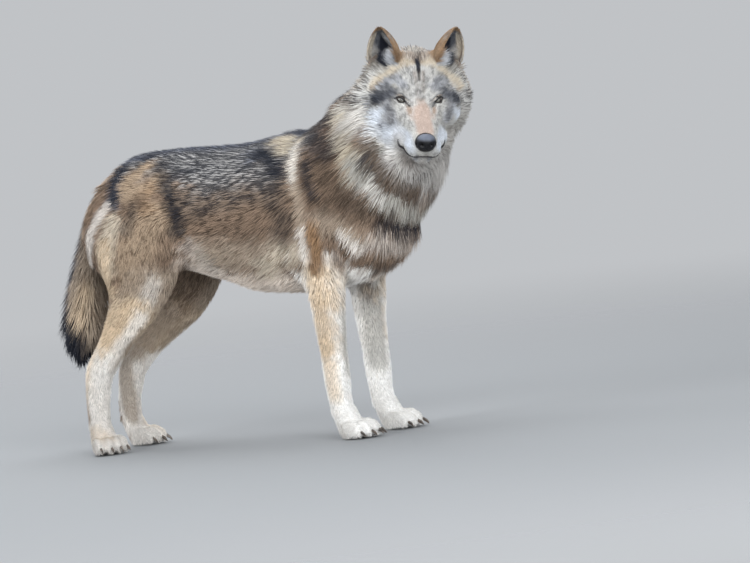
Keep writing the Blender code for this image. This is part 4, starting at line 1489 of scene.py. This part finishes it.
@dataclass
class Tufts:
    """Turns roots into solid tufts: three-sided locks that narrow to a point."""

    rng: np.random.Generator
    root_sink: float = 0.8 * MM
    root_tone: Pair = (0.90, 0.74)  # the root's brightness under painted shade between the hairs, short and long hair
    root_shade_lengths: Pair = (9 * MM, 28 * MM)  # those lengths
    bend: Triple = (0.66, 0.42, 0.3)  # the bend's share of rise, run, pull
    first_ring: float = 0.8  # width there, of the full width
    ridge: float = 0.30  # the section's height, of its width
    map_patch: float = 0.003

    def shape(self, roots: Roots, rings: int) -> tuple[np.ndarray, ...]:
        """Builds the tufts of one kind.

        A tuft's middle line leaves the skin steeply and bends over until its
        point lies at the coat's depth. Its cross-section is a low triangle.

        Args:
            roots: where they stand.
            rings: 1 for a plain spike and 2 for a bent lock.

        Returns:
            Corners by tuft, one tuft's triangles, colours by tuft, and each
            corner's place in the tuft's patch of the map.
        """
        flat = np.sqrt(np.maximum(roots.lengths**2 - roots.depths**2, 0.0))
        reach = roots.depths * (0.74 + 0.36 * self.rng.random(len(roots.points)))
        sink = np.minimum(0.36 * roots.depths, self.root_sink)
        base = roots.points - roots.normals * sink[:, None]
        tip = roots.points + roots.normals * reach[:, None] + roots.ways * flat[:, None] + roots.pulls
        line = [base]
        if rings == 2:
            up, along, aside = self.bend
            rise = roots.normals * (reach * up)[:, None] + roots.ways * (flat * along)[:, None]
            line.append(roots.points + rise + roots.pulls * aside)
        line.append(tip)
        ring_points = []
        for k in range(rings):
            way = unit(line[k + 1] - line[max(k - 1, 0)])
            side = unit(np.cross(way, roots.normals))
            rise = np.cross(side, way)
            wide = roots.widths * (self.first_ring if k < rings - 1 else 1.0)
            half = side * (wide / 2)[:, None]
            top = rise * (wide * self.ridge)[:, None]
            ring_points += [line[k] - half, line[k] + half, line[k] + top]
        corners = np.stack(ring_points + [tip], 1)
        middle, tips, share = roots.shades[:, :3], roots.shades[:, 3:6], roots.shades[:, 6]
        dark = (roots.luck < share)[:, None]
        light = middle * roots.tones[:, None]
        end = np.where(dark, tips, light * 1.10)
        # The root ring is darkened as painted shade between the hairs, more for long hair.
        low = light * np.interp(roots.lengths, self.root_shade_lengths, self.root_tone)[:, None]
        steps = [low] if rings == 1 else [low, np.where(dark, light * 0.34 + tips * 0.6, light)]
        colours = np.stack([c for step in steps for c in (step, step, step)] + [end], 1)
        return corners, tuft_triangles(rings), colours, self.patch(rings)

    def patch(self, rings: int) -> np.ndarray:
        """The corners' places in a tuft's own small patch of the map.

        Args:
            rings: how many rings the tuft has.

        Returns:
            Two numbers for each corner.
        """
        places = []
        for v in (0.0, 0.5)[:rings]:
            places += [(-0.5, v), (0.5, v), (0.0, v + 0.16)]
        places.append((0.0, 1.0))
        return (np.array(places) - [0.0, 0.5]) * self.map_patch

    @staticmethod
    def unwrapped(region: Region, points: np.ndarray) -> np.ndarray:
        """Spreads roots evenly over the map, in the order of the skin's own unwrap.

        The distance along the region's line picks the row, with as many rows
        as the square root of their number, and the angle round it the column.

        Args:
            region: the region that they stand on.
            points: the roots.

        Returns:
            Two numbers for each root, from 0 to 1.
        """
        along, angle = region.order(points)
        rows = max(1, int(math.sqrt(len(along))))
        row = np.empty(len(along), int)
        row[np.argsort(along)] = np.arange(len(along)) * rows // len(along)
        order = np.lexsort((angle, row))
        counts = np.bincount(row, minlength=rows)
        column = np.empty(len(along), int)
        column[order] = np.arange(len(along)) - np.repeat(np.cumsum(counts) - counts, counts)
        return np.stack([(column + 0.5) / counts[row], (row + 0.5) / rows], 1)

    def piece(self, name: str, region: Region, roots: Roots) -> bpy.types.Object:
        """Makes one piece of coat, with its colours and its map.

        Args:
            name: the piece's name.
            region: the region that it belongs to.
            roots: its tufts.

        Returns:
            The piece.
        """
        place = self.unwrapped(region, roots.points)
        points, triangles, colours, uvs, start = [], [], [], [], 0
        bent = roots.lengths > BENT_FROM
        for rings, chosen in ((1, np.nonzero(~bent)[0]), (2, np.nonzero(bent)[0])):
            if not len(chosen):
                continue
            corners, pattern, paint, patch = self.shape(roots.only(chosen), rings)
            size = corners.shape[1]
            firsts = start + np.arange(len(chosen)) * size
            points.append(corners.reshape(-1, 3))
            triangles.append((firsts[:, None, None] + pattern[None]).reshape(-1, 3))
            colours.append(paint.reshape(-1, 3))
            uvs.append((place[chosen][:, None] + patch[None]).reshape(-1, 2))
            start += len(chosen) * size
        triangles = np.concatenate(triangles)
        piece = new_mesh(name, np.concatenate(points), triangles, smooth=False)
        layer = piece.data.uv_layers.new(name=COAT_MAP)
        uv = np.concatenate(uvs)[triangles.ravel()]
        layer.data.foreach_set("uv", uv.astype(np.float32).ravel())
        return dressed(piece, np.concatenate(colours), COAT_FINISH)


def tuft_triangles(rings: int) -> np.ndarray:
    """The faces of one tuft, turned outward.

    Args:
        rings: how many rings of three corners it has before its point.

    Returns:
        Its triangles.
    """
    faces = [(0, 1, 2)]
    for k in range(rings - 1):
        for i, j in ((0, 1), (1, 2), (2, 0)):
            a, b, c, d = 3 * k + i, 3 * k + 3 + i, 3 * k + 3 + j, 3 * k + j
            faces += [(a, b, c), (a, c, d)]
    last, tip = 3 * rings - 3, 3 * rings
    faces += [(last + i, tip, last + j) for i, j in ((0, 1), (1, 2), (2, 0))]
    return np.array(faces)


@dataclass
class Coat:
    """All the wolf's hair."""

    skin: Skin
    lie: Lie
    markings: Markings
    ears: list[Ear]
    bare: Bare
    fullness: float = 1.12
    spacing: Pair = (1.15 * MM, 0.062)  # of the shortest hair; more by length
    closest: float = 1.5 * MM
    widest: float = 3.7 * MM
    longest: Pair = (50 * MM, 2.95 * MM)  # from this length on, this spacing
    leg_gaps: float = 0.42  # how much wider the spacing is on the legs
    leg_top: Pair = (0.38, 0.46)
    width: Pair = (0.45, 0.28)  # least, and more by chance, of the spacing
    trim: Pair = (0.80, 0.36)  # least, and more by chance, of the hair's length
    ear_tuft: Pair = (19 * MM, 9 * MM)  # more length and depth inside the ears
    swirls: tuple[tuple[float, float, int], ...] = ((0.20, 0.05, 1), (0.16, 0.018, 2))
    stray: float = 0.10
    steepest: float = 1.3  # a hair's length over its depth, at least
    off_floor: float = 0.5 * MM
    gathering: float = 0.42  # how far hairs lean to their lock's middle
    gathered_from: Pair = (7 * MM, 30 * MM)
    row_width: float = 27 * MM
    piece_triangles: float = 190000.0

    def __post_init__(self) -> None:
        """Sets up the one source of chance."""
        self.rng = np.random.default_rng(SEED)
        self.tufts = Tufts(self.rng)

    def shade(self, points: np.ndarray, normals: np.ndarray) -> np.ndarray:
        """The coat's shade, ears included.

        Args:
            points: places.
            normals: the surface's directions there.

        Returns:
            Seven numbers a place.
        """
        shade = self.markings.at(points)
        for ear in self.ears:
            shade = ear.paint(points, normals, shade)
        for eye in self.bare.eyes:
            shade = eye.paint(points, shade)
        return shade

    def scattered(self, lengths: np.ndarray) -> tuple[np.ndarray, np.ndarray, np.ndarray]:
        """Scatters roots evenly over the skin, closer together where the hair is short.

        Args:
            lengths: the hair's length at each corner of the skin.

        Returns:
            Each root's three corners of the skin, their weights, and the spacing there.
        """
        skin, t = self.skin, self.skin.triangles
        bare = self.bare.share(skin.points, skin.normals)
        length = lengths[t].mean(1)
        least, more = self.spacing
        spacing = np.clip(least + more * length, self.closest, self.widest)
        spacing = np.where(length > self.longest[0], self.longest[1], spacing)
        height = skin.points[t].mean(1)[:, 2]
        spacing *= 1.0 + self.leg_gaps * (1.0 - eased(height, *self.leg_top))
        wanted = self.fullness * face_areas(skin.points, t)[0] / spacing**2
        wanted *= 1.0 - bare[t].mean(1)
        count = np.floor(wanted + self.rng.random(len(wanted))).astype(int)
        face = np.repeat(np.arange(len(t)), count)
        u, v = self.rng.random((2, len(face)))
        over = u + v > 1
        u, v = np.where(over, 1 - u, u), np.where(over, 1 - v, v)
        return t[face], np.stack([1 - u - v, u, v], 1), spacing[face]

    @staticmethod
    def read(values: np.ndarray, corners: np.ndarray, weights: np.ndarray) -> np.ndarray:
        """Blends the values of three corners by their weights."""
        shape = (len(corners), 3) + (1,) * (values.ndim - 1)
        return (values[corners] * weights.reshape(shape)).sum(1)

    def swirled(self, points: np.ndarray, normals: np.ndarray, way: np.ndarray) -> np.ndarray:
        """Turns the hairs a little to the side, by wide and narrow swells and by chance.

        Args:
            points: the hairs' roots.
            normals: the skin's directions there.
            way: the hairs' directions along the skin.

        Returns:
            The directions turned.
        """
        side = np.cross(normals, way)
        swirl = sum(strength * cloud(points, size, seed) for strength, size, seed in self.swirls)
        swirl += self.stray * self.rng.standard_normal(len(points))
        return unit(way + side * swirl[:, None])

    def grown(self) -> Roots:
        """Sets roots over the skin and gives each its direction, length, width and shade.

        Returns:
            Every tuft of the coat.
        """
        skin = self.skin
        ways, depths, lengths = self.lie.at(skin.points)
        corners, weights, spacing = self.scattered(lengths)
        points = self.read(skin.points, corners, weights)
        normals = unit(self.read(skin.normals, corners, weights))
        hair, deep, way = (self.read(v, corners, weights) for v in (lengths, depths, ways))
        for ear in self.ears:
            tuft = ear.fluff(points, normals)
            way = way + (ear.rise * 1.2 + ear.outward + ear.facing * 0.8) * (3.0 * tuft)[:, None]
            hair, deep = hair + self.ear_tuft[0] * tuft, deep + self.ear_tuft[1] * tuft
        way = self.swirled(points, normals, across(way, normals))
        draw = self.rng.random((len(points), 4))
        hair = np.maximum(hair * (self.trim[0] + self.trim[1] * draw[:, 0]), deep * self.steepest)
        drop = -way[:, 2] * hair
        room = points[:, 2] + normals[:, 2] * deep - self.off_floor
        hair = np.where(drop > room, hair * np.clip(room / np.maximum(drop, 1e-6), 0.2, 1.0), hair)
        deep = np.minimum(deep, hair / self.steepest)
        pull, number = self.gathered(points, hair)
        pull -= normals * dot(pull, normals)[:, None]
        pull *= (self.gathering * eased(hair, *self.gathered_from))[:, None]
        rows, share = self.ripples(points + way * (hair * 0.75)[:, None])
        on_head = 0.14 * eased(points[:, 2], 0.70, 0.78) * eased(-hair, -24 * MM, -12 * MM)
        with_lock = draw[:, 1] < 0.74 + 0.12 * share + on_head
        luck = np.where(with_lock, number + (0.8 * (rows - number)) * share, draw[:, 2])
        run = hair * (0.47 + 0.28 * luck)
        shown = points + normals * (deep * 0.8)[:, None] + way * run[:, None]
        tone = 1.0 + 0.28 * (number - 0.5) + 0.22 * (draw[:, 3] - 0.5) + 0.10 * cloud(points, 0.03, 8)
        tone += 0.5 * (0.5 - rows) * share
        width = spacing * (self.width[0] + self.width[1] * draw[:, 2])
        shade = self.shade(shown, normals)
        return Roots(points, normals, way, deep, hair, width, shade, pull, 1.0 - luck, tone)

    def ripples(self, points: np.ndarray) -> tuple[np.ndarray, np.ndarray]:
        """The saddle's slanting rows, in which pale bands and dark tips show in turn.

        A row runs forward and up the side. Where a place lies across the rows
        is its x plus how far down the side it is, made uneven by noise.

        Args:
            points: places near the hairs' tips.

        Returns:
            A number from 0 on a pale row to 1 between rows, and how far the
            rows hold at each place.
        """
        down = np.abs(points[:, 1]) - points[:, 2]
        across_rows = (points[:, 0] * 0.9 + down) / self.row_width
        wave = across_rows + 0.6 * cloud(points, 0.07, 9) + 0.25 * cloud(points, 0.02, 10)
        rows = 0.5 - 0.5 * np.cos(2 * math.pi * wave)
        share = eased(points[:, 2], 0.60, 0.64) * eased(points[:, 0], -0.30, -0.22)
        return rows, share * (1.0 - eased(points[:, 0], 0.12, 0.18))

    @staticmethod
    def gathered(points: np.ndarray, hair: np.ndarray) -> tuple[np.ndarray, np.ndarray]:
        """Gathers the hair into locks, wide ones where it is long.

        Args:
            points: the hairs' roots.
            hair: their lengths.

        Returns:
            The way to each lock's middle, and one random number that a lock shares.
        """
        pull, number = locks(points, 0.007, 20)
        for longer, size in ((18 * MM, 0.010), (34 * MM, 0.014), (52 * MM, 0.018)):
            chosen = hair > longer
            pull[chosen], number[chosen] = locks(points[chosen], size, 20)
        return pull, number

    def build(self) -> list[bpy.types.Object]:
        """Grows the coat and parts it into pieces.

        Returns:
            The pieces.
        """
        roots = self.grown()
        gaps = np.stack([r.gap(roots.points) for r in REGIONS], 1)
        home = gaps.argmin(1)
        pieces = []
        for k, region in enumerate(REGIONS):
            own = roots.only(home == k)
            along = region.order(own.points)[0]
            faces = np.where(own.lengths > BENT_FROM, FACES[2], FACES[1])
            order = np.argsort(along)
            total = np.cumsum(faces[order])
            parts = int(math.ceil(total[-1] / self.piece_triangles))
            cuts = np.searchsorted(total, np.arange(1, parts) * total[-1] / parts)
            for i, chosen in enumerate(np.split(order, cuts)):
                name = region.name if parts == 1 else f"{region.name}_{i + 1}"
                pieces.append(self.tufts.piece(name, region, own.only(chosen)))
        return pieces


# ---- finishes


def shader(name: str) -> tuple[bpy.types.Material, bpy.types.NodeTree, bpy.types.Node]:
    """A new material with its one shader.

    Args:
        name: the material's name.

    Returns:
        The material, its nodes and its shader.
    """
    made = bpy.data.materials.new(name)
    made.use_nodes = True
    tree = made.node_tree
    return made, tree, tree.nodes["Principled BSDF"]


@dataclass(frozen=True)
class PaintedFinish:
    """A finish that takes its colour from the piece's own paint."""

    name: str
    roughness: float
    specular: float
    sheen: float = 0.0
    gloss: float = 0.0
    bump_scale: float = 0.0
    bump_depth: float = 0.0
    bump_strength: float = 0.5

    def material(self) -> bpy.types.Material:
        """Makes the material once and gives the same one again after that.

        Returns:
            The material.
        """
        known = bpy.data.materials.get(self.name)
        if known:
            return known
        made, tree, target = shader(self.name)
        paint = tree.nodes.new("ShaderNodeAttribute")
        paint.attribute_name = COAT_PAINT
        tree.links.new(paint.outputs["Color"], target.inputs["Base Color"])
        target.inputs["Roughness"].default_value = self.roughness
        target.inputs["Specular IOR Level"].default_value = self.specular
        target.inputs["Sheen Weight"].default_value = self.sheen
        target.inputs["Coat Weight"].default_value = self.gloss
        target.inputs["Coat Roughness"].default_value = 0.04
        if self.bump_scale:
            self.roughen(tree, target)
        return made

    def roughen(self, tree: bpy.types.NodeTree, target: bpy.types.Node) -> None:
        """Gives a shader a fine uneven surface.

        Args:
            tree: the material's nodes.
            target: its shader.
        """
        place = tree.nodes.new("ShaderNodeTexCoord")
        noise = tree.nodes.new("ShaderNodeTexNoise")
        noise.inputs["Scale"].default_value = self.bump_scale
        noise.inputs["Detail"].default_value = 3.0
        bump = tree.nodes.new("ShaderNodeBump")
        bump.inputs["Strength"].default_value = self.bump_strength
        bump.inputs["Distance"].default_value = self.bump_depth
        tree.links.new(place.outputs["Object"], noise.inputs["Vector"])
        tree.links.new(noise.outputs["Fac"], bump.inputs["Height"])
        tree.links.new(bump.outputs["Normal"], target.inputs["Normal"])


COAT_FINISH = PaintedFinish("wolf coat", 0.62, 0.13, sheen=0.02)
SKIN_FINISH = PaintedFinish(
    "wolf skin", 0.75, 0.2, bump_scale=420.0, bump_depth=0.0012, bump_strength=0.7
)
LEATHER_FINISH = PaintedFinish(
    "wet leather", 0.48, 0.28, bump_scale=700.0, bump_depth=0.0006, bump_strength=0.55
)
EYE_FINISH = PaintedFinish("eye", 0.25, 0.5, gloss=1.0)


def dressed(
    piece: bpy.types.Object,
    colours: np.ndarray,
    finish: PaintedFinish,
    replaced: tuple[str, ...] = (),
) -> bpy.types.Object:
    """Paints a piece, gives it its finish, hangs it on the root and hides the parts that it replaces.

    Args:
        piece: the piece.
        colours: one colour for each of its corners.
        finish: its finish.
        replaced: the solid parts that it takes the place of.

    Returns:
        The same piece.
    """
    set_paint(piece, colours)
    piece.data.materials.append(finish.material())
    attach(piece, "root")
    if replaced:
        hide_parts(*replaced)
    log.info("%s: %d triangles", piece.name, len(piece.data.polygons))
    return piece


@dataclass(frozen=True)
class HornFinish:
    """The claws' dark horn, lighter where it wears."""

    dark: Triple = (0.035, 0.028, 0.024)
    light: Triple = (0.16, 0.125, 0.10)

    def material(self) -> bpy.types.Material:
        """Makes the material.

        Returns:
            The material.
        """
        made, tree, target = shader("claw horn")
        place = tree.nodes.new("ShaderNodeTexCoord")
        noise = tree.nodes.new("ShaderNodeTexNoise")
        noise.inputs["Scale"].default_value = 160.0
        ramp = tree.nodes.new("ShaderNodeValToRGB")
        ramp.color_ramp.elements[0].position = 0.35
        ramp.color_ramp.elements[0].color = (*self.dark, 1.0)
        ramp.color_ramp.elements[1].position = 0.75
        ramp.color_ramp.elements[1].color = (*self.light, 1.0)
        tree.links.new(place.outputs["Object"], noise.inputs["Vector"])
        tree.links.new(noise.outputs["Fac"], ramp.inputs["Fac"])
        tree.links.new(ramp.outputs["Color"], target.inputs["Base Color"])
        target.inputs["Roughness"].default_value = 0.38
        return made


# ---- small parts


@dataclass(frozen=True)
class Nose:
    """The bare nose: a rounded pad with two nostrils and a groove."""

    middle: Triple = (127.0, 0.0, -46.0)
    radii: Triple = (18.0, 23.5, 20.5)
    nostril: tuple[Triple, ...] = ((17, 8.5, -2), (15, 12.5, 0), (9, 17.5, 0), (0, 22.5, -4))
    opening_reach: float = 5.2
    slit_reach: float = 2.3
    nostril_depth: float = 9.0
    groove_depth: float = 2.2
    bulge_height: float = 1.2
    # the painted highlight's bluish grey, laid on the top of the black nose
    top: Triple = (0.10, 0.112, 0.145)
    black: Triple = (0.004, 0.004, 0.006)

    def build(self) -> bpy.types.Object:
        """Makes the nose.

        Every point of a ball is pushed inward near the nostrils' lines and
        along the middle groove, by bell-shaped amounts.

        Returns:
            The nose.
        """
        rings, sides = 90, 128
        p, a = ball_angles(rings, sides)
        way = np.stack([np.sin(p) * np.cos(a), np.sin(p) * np.sin(a), np.cos(p)], 1)
        blunt = np.sign(way) * np.abs(way) ** 0.86
        own = blunt / np.linalg.norm(blunt, axis=1, keepdims=True) ** 0.5 * np.array(self.radii)
        line = np.array(self.nostril, float)
        hollow = np.zeros(len(own))
        for side in (1.0, -1.0):
            twin = line * [1.0, side, 1.0]
            opening = np.linalg.norm(own - twin[1], axis=1)
            slit = distance_to_line(own, twin)
            hollow = np.maximum(hollow, np.exp(-((opening / self.opening_reach) ** 2)))
            hollow = np.maximum(hollow, 0.62 * np.exp(-((slit / self.slit_reach) ** 2)))
        front = eased(way[:, 0], 0.1, 0.5)
        groove = front * np.exp(-((own[:, 1] / 1.3) ** 2)) * (1.0 - eased(own[:, 2], -4.0, 3.0))
        beside = np.exp(-(((np.abs(own[:, 1]) - 9.0) / 5.0) ** 2))
        bulge = front * beside * eased(own[:, 2], -2.0, 8.0)
        inward = self.nostril_depth * hollow + self.groove_depth * groove - self.bulge_height * bulge
        own = own - unit(way) * inward[:, None]
        points = HEAD.out((own + np.array(self.middle)) * MM)
        piece = new_mesh("nose_pad", points, faced_outward(points, closed_rings(rings, sides)))
        # A painted highlight on the nose's upper front, and none in the nostrils.
        painted_highlight = eased(own[:, 2] - 0.25 * own[:, 0], 5.0, 15.0) * (1.0 - hollow)
        colour = mixed(np.tile(self.black, (len(own), 1)), np.array(self.top), painted_highlight)
        # Painted shade darkens the nostrils by their depth.
        colour = colour * (1.0 - 0.9 * hollow)[:, None]
        return dressed(piece, colour, LEATHER_FINISH, ("nose",))


def leather_rod(name: str, rods: list[Surface], colour: Triple) -> bpy.types.Object:
    """Joins thin rods of bare dark skin into one piece.

    Args:
        name: the piece's name.
        rods: corners and triangles of each rod.
        colour: its colour.

    Returns:
        The piece.
    """
    points, triangles, start = [], [], 0
    for rod_points, rod_triangles in rods:
        points.append(rod_points)
        triangles.append(faced_outward(rod_points, rod_triangles) + start)
        start += len(rod_points)
    piece = new_mesh(name, np.concatenate(points), np.concatenate(triangles))
    return dressed(piece, np.tile(colour, (start, 1)), LEATHER_FINISH)


# ---- the studio


@dataclass(frozen=True)
class Lamp:
    """A square soft light that looks at the wolf's middle."""

    name: str
    spot: Triple
    size: float
    power: float

    def hang(self, tint: Triple) -> None:
        """Hangs the light.

        Args:
            tint: its colour.
        """
        lamp = bpy.data.lights.new(self.name, "AREA")
        lamp.energy, lamp.size, lamp.color = self.power, self.size, tint
        piece = bpy.data.objects.new(self.name, lamp)
        bpy.context.scene.collection.objects.link(piece)
        piece.location = self.spot
        aim = Vector((0.0, 0.0, 0.5)) - Vector(self.spot)
        piece.rotation_euler = aim.to_track_quat("-Z", "Y").to_euler()


@dataclass(frozen=True)
class Studio:
    """A pale floor, soft lights and the camera."""

    backdrop: Triple = (0.53, 0.545, 0.565)
    ground: Triple = (0.25, 0.257, 0.266)
    floor_radius: float = 9.0
    floor_sides: int = 96
    fade: Pair = (1.0, 5.5)  # whole within, gone beyond
    tint: Triple = (0.96, 0.985, 1.0)
    lamps: tuple[Lamp, ...] = (
        Lamp("key", (4.0, -4.1, 3.3), 3.4, 300.0),
        Lamp("side", (-2.3, -4.7, 2.4), 3.0, 145.0),
        Lamp("low", (4.2, -2.8, 0.7), 2.6, 80.0),
        Lamp("top", (-0.8, 0.6, 4.2), 4.0, 170.0),
        Lamp("back", (-3.5, 3.0, 2.8), 2.5, 90.0),
    )
    round_by: float = 33.0  # degrees from the wolf's right side towards its front
    above: float = 8.0
    lean: float = 8.0
    target: Triple = (0.309, 0.0019, 0.3637)
    distance: float = 20.0
    lens: float = 402.24

    def floor(self) -> None:
        """Lays the floor, a disc that fades into the backdrop."""
        sides = self.floor_sides
        turn = np.linspace(0.0, 2.0 * math.pi, sides, endpoint=False)
        rim = np.stack([np.cos(turn), np.sin(turn), np.zeros(sides)], 1) * self.floor_radius
        points = np.concatenate([rim, [[0.0, 0.0, 0.0]]])
        i = np.arange(sides)
        piece = new_mesh("floor", points, np.stack([np.full(sides, sides), i, (i + 1) % sides], 1))
        made, tree, target = shader("floor")
        target.inputs["Base Color"].default_value = (*self.ground, 1.0)
        target.inputs["Roughness"].default_value = 0.9
        target.inputs["Specular IOR Level"].default_value = 0.1
        place = tree.nodes.new("ShaderNodeTexCoord")
        size = tree.nodes.new("ShaderNodeVectorMath")
        size.operation = "LENGTH"
        fade = tree.nodes.new("ShaderNodeMapRange")
        fade.interpolation_type = "SMOOTHSTEP"
        for key, value in zip(("From Min", "From Max", "To Min", "To Max"), (*self.fade, 1.0, 0.0)):
            fade.inputs[key].default_value = value
        tree.links.new(place.outputs["Object"], size.inputs[0])
        tree.links.new(size.outputs["Value"], fade.inputs["Value"])
        tree.links.new(fade.outputs["Result"], target.inputs["Alpha"])
        piece.data.materials.append(made)

    def lights(self) -> None:
        """Hangs the soft lights and lights the air."""
        world = bpy.data.worlds.new("studio")
        bpy.context.scene.world = world
        world.use_nodes = True
        air = world.node_tree.nodes["Background"]
        air.inputs["Color"].default_value = (*self.backdrop, 1.0)
        air.inputs["Strength"].default_value = 1.0
        for lamp in self.lamps:
            lamp.hang(self.tint)

    def camera(self) -> None:
        """Sets the camera: round to the wolf's right, a little above it, and leaning."""
        turned = (
            Matrix.Rotation(math.radians(self.lean), 4, "Y")
            @ Matrix.Rotation(math.radians(self.round_by), 4, "Z")
            @ Matrix.Rotation(math.radians(90.0 - self.above), 4, "X")
        )
        back = turned.col[2].to_3d()
        lens = bpy.data.cameras.new("camera")
        lens.sensor_width, lens.lens, lens.clip_end = 36.0, self.lens, 200.0
        piece = bpy.data.objects.new("camera", lens)
        bpy.context.scene.collection.objects.link(piece)
        place = Vector(self.target) + back * self.distance
        piece.matrix_world = Matrix.Translation(place) @ turned
        bpy.context.scene.camera = piece

    def build(self) -> None:
        """Sets up the whole studio."""
        self.floor()
        self.lights()
        self.camera()
        bpy.context.scene.view_settings.view_transform = "Standard"


# ---- the wolf


@dataclass
class Wolf:
    """The whole animal."""

    nodes: dict[str, bpy.types.Object]
    kept: tuple[str, ...] = ("eye", "nose", "claw")  # not flesh
    under_coat: float = 0.62  # the skin's brightness, of the coat's: painted shade under the coat
    bare_black: Triple = (0.012, 0.010, 0.011)
    lid_black: Triple = (0.012, 0.010, 0.010)
    lip_black: Triple = (0.012, 0.010, 0.012)

    def __post_init__(self) -> None:
        """Sorts the solid parts and sets up what the coat follows."""
        self.flesh = sorted(n for n in self.nodes if not any(k in n for k in self.kept))
        self.eyes = [Eye(1), Eye(-1)]
        self.ears = [Ear(1), Ear(-1)]
        self.skin = Skin()

    def build(self) -> None:
        """Builds the skin, the coat and the small parts."""
        lie = Lie(STREAMS, self.ears)
        self.skin.build([self.nodes[n] for n in self.flesh], lie, self.eyes)
        bare = Bare(self.eyes, self.skin)
        coat = Coat(self.skin, lie, Markings(MARKS, FLANK), self.ears, bare)
        self.build_skin(coat)
        coat.build()
        Nose().build()
        self.build_eyes()
        self.build_lips(bare.lips)
        self.dress_claws()

    def build_skin(self, coat: Coat) -> None:
        """Makes the skin's piece, in the coat's colours darkened as painted shade under the coat, and
        black where it is bare.

        Args:
            coat: the coat over it.
        """
        skin = self.skin
        # The coat's colours, darkened as painted shade under the coat.
        shade = coat.shade(skin.points, skin.normals)[:, :3] * self.under_coat
        share = coat.bare.share(skin.points, skin.normals)
        paint = mixed(shade, np.array(self.bare_black), share)
        piece = new_mesh("skin", skin.points, skin.triangles)
        dressed(piece, paint, SKIN_FINISH, tuple(self.flesh))

    def dress_claws(self) -> None:
        """Gives the solid claws their horn."""
        horn = HornFinish().material()
        for name, node in self.nodes.items():
            if "claw" in name:
                node.data.materials.clear()
                node.data.materials.append(horn)
                log.info("%s: horn", name)

    def build_eyes(self) -> None:
        """Makes both eyes and the lids' edges."""
        for eye in self.eyes:
            side = "left" if eye.side > 0 else "right"
            points, triangles, colours = eye.ball()
            ball = new_mesh(f"{side}_eyeball", points, triangles)
            dressed(ball, colours, EYE_FINISH, (f"eye_{side}",))
            leather_rod(f"{side}_eye_rims", [eye.rim(True), eye.rim(False)], self.lid_black)

    def build_lips(self, path: np.ndarray) -> None:
        """Lays the dark lips on the skin.

        Args:
            path: the line between them.
        """
        t = np.linspace(0.0, 1.0, len(path))
        radii = (1.0 + 1.8 * np.sin(t * math.pi) ** 0.4) * MM
        leather_rod("lips", [tube(path, radii)], self.lip_black)


def main() -> None:
    """Builds the whole scene."""
    logging.basicConfig(level=logging.INFO, format="%(message)s")
    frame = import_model()
    Wolf(frame["nodes"]).build()
    Studio().build()


if __name__ == "__main__":
    main()
